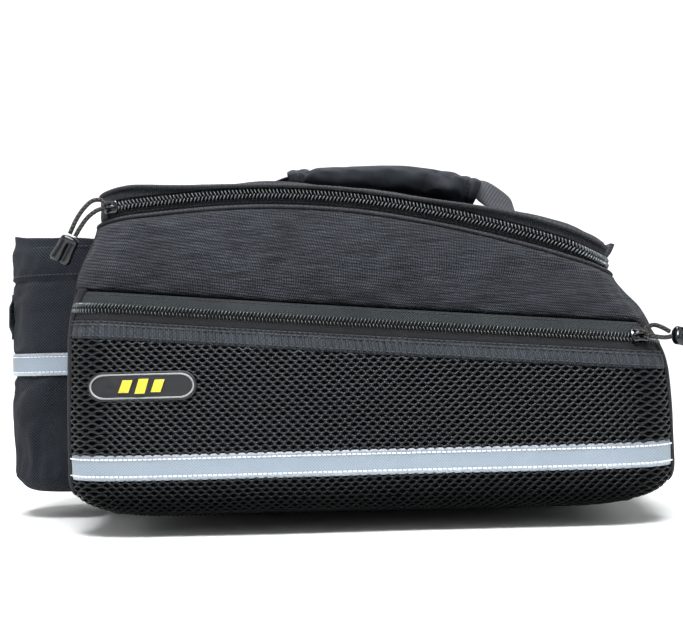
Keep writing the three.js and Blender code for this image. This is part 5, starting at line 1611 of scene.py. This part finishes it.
# box stitches where the strap's ends are sewn down
def strapStitches():
    half, lines = 10.3, []
    for start, end in ((-0.985, -0.8), (0.875, 0.985)):
        along = strapPoint(np.linspace(start, end, 60)) + upward * 1.15
        lines += [along + sideward * y for y in (-half, half)]
        lines += [along[k] + np.linspace(-half, half, 40)[:, None] * sideward for k in (0, -1)]
        lines += [along + np.linspace(-half, half, 60)[:, None] * sideward * sign for sign in (1, -1)]
    rings = [stitchRow(line, np.cross(upward, np.gradient(line, axis=0)), 2.6, 2.0, 0.3) for line in lines]
    addBars("strap_stitches", np.concatenate(rings), plain["darkThread"])


strapStitches()


# ---- light loop on the bottle pocket and the folded tab on the nose
def makeLoops():
    along = np.linspace(-1, 1, 90)
    z = bag["base"] + 129.5 + along * 16
    share = (z - bag["base"] - bottle["base"]) / (bottle["height"] - bottle["base"])
    face = bag["halfLength"] + bag["rearBow"] + bottle["depth"] * smoothAt(share, bulgeTable)
    slack = 0.5 - 0.5 * np.cos(np.pi * np.clip((1 - np.abs(along)) / 0.45 - 0.4, 0, 1))
    x = -face - bag["gap"] - 1.2 - slack * 2.0
    addWebbing("light_loop_webbing", np.stack([x, 0 * x, z], -1), 25.0, 1.4, cloth["strap"],
               replaces=["light_loop"], slot="webbing")
    rings = []
    for at in (-0.9, -0.8, 0.8, 0.9):
        here = int((at + 1) / 2 * 89)
        line = np.array([x[here] - 0.75, 0, z[here]]) + np.linspace(-11, 11, 60)[:, None] * sideward
        rings.append(stitchRow(line, upward, 2.4, 1.9, 0.28))
    addBars("loop_stitches", np.concatenate(rings), plain["darkThread"])
    foot = overRim(np.array([19.5]), 10.5)[0]
    route = np.array([(2.1, -1.5), (2.4, 2), (6.0, 7.4), (10.0, 12.5), (12.6, 18)])
    points = np.stack([foot[0] + route[:, 0], 0 * route[:, 0], foot[2] + route[:, 1]], -1)
    line = smoothLine(points, 60)
    addWebbing("nose_tab", line, 16.0, 3.2, cloth["strap"], rounding=0.5, replaces=["front_tab"],
               slot="webbing")


makeLoops()
print("bottle pocket, handle and loops made")


# ---- base runner keeps its solid and gets a plastic material
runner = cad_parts["base_runner"]
runner.data.materials.clear()
runner.data.materials.append(plain["runner"])

# ---- studio: a pale floor that curves up all round like a bowl, soft light from above and in front
studio = {"floor": (0.80, 0.80, 0.80), "flat": 1700.0, "bend": 900.0, "top": 3400.0, "world": 0.10,
          "key": 24.0, "front": 0.6, "side": 1.6,
          "backdrops": (("rear", 0, 1, 54.0), ("nose", 1, 0, 12.0), ("near", 0, -1, 5.0),
                        ("tail", -1, 0, 12.0))}


def makeFloor():
    material, tree, shader = newMaterial("studio_floor", 0.9, 0.2)
    noise = addNoise(tree, objectPlace(tree), 6.0)
    tree.links.new(tint(tree, studio["floor"], remap(tree, noise, 0.3, 0.7, 0.98, 1.0)),
                   shader.inputs["Base Color"])
    flat, bend, sides = studio["flat"], studio["bend"], 96
    turn = np.linspace(0, np.pi / 2, 17)
    reach = np.concatenate([np.linspace(20, flat, 12)[:-1], flat + bend * np.sin(turn), [flat + bend]])
    z = np.concatenate([np.zeros(11), bend * (1 - np.cos(turn)), [studio["top"]]])
    reach, z, around = reach[:, None], z[:, None], turnsOf(sides)
    grid = np.stack(np.broadcast_arrays(reach * np.cos(around), reach * np.sin(around), z), -1)
    mesh = bpy.data.meshes.new("studio_floor")
    quads = gridQuads(len(reach), sides, closedColumns=True)[:, ::-1].tolist()
    mesh.from_pydata((grid.reshape(-1, 3) * mm).tolist(), [], quads + [list(range(sides))])
    mesh.materials.append(material)
    mesh.shade_smooth()
    placeObject("studio_floor", mesh)


def addLight(name, place, aim, size, power, color=(1, 1, 1)):
    data = bpy.data.lights.new(name, "AREA")
    data.shape, data.size, data.size_y, data.energy, data.color = "RECTANGLE", size[0], size[1], power, color
    turn = (Vector(aim) - Vector(place)).to_track_quat("-Z", "Y").to_matrix().to_4x4()
    placeObject(name, data).matrix_world = Matrix.Translation(Vector(place)) @ turn


def makeLight():
    world = bpy.data.worlds.new("studio_world")
    world.use_nodes = True
    sky = world.node_tree.nodes["Background"].inputs
    sky[0].default_value, sky[1].default_value = (0.94, 0.975, 1.0, 1), studio["world"]
    bpy.context.scene.world = world
    addLight("key", (-0.05, -0.66, 1.10), (0, 0, 0.1), (0.9, 0.32), studio["key"], (0.96, 0.985, 1.0))
    addLight("front", (0.0, -1.7, 0.9), (0, 0, 0.12), (1.6, 0.8), studio["front"])
    for name, x in (("left", -1.4), ("right", 1.4)):
        addLight(name, (x, -0.5, 0.8), (0, 0, 0.12), (0.7, 0.7), studio["side"])
    for side, x, y, power in studio["backdrops"]:
        addLight("backdrop_" + side, (0.6 * x, 0.6 * y, 3.0), (2.5 * x, 2.5 * y, 0.9), (1.2, 1.2), power)
    bpy.context.scene.view_settings.view_transform = "Standard"
    bpy.context.scene.view_settings.look = "Medium High Contrast"


makeFloor()
makeLight()

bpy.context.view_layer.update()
triangles = sum(len(face.vertices) - 2 for piece in finished for face in piece.data.polygons)
print("pieces made:", len(finished), "triangles:", triangles)
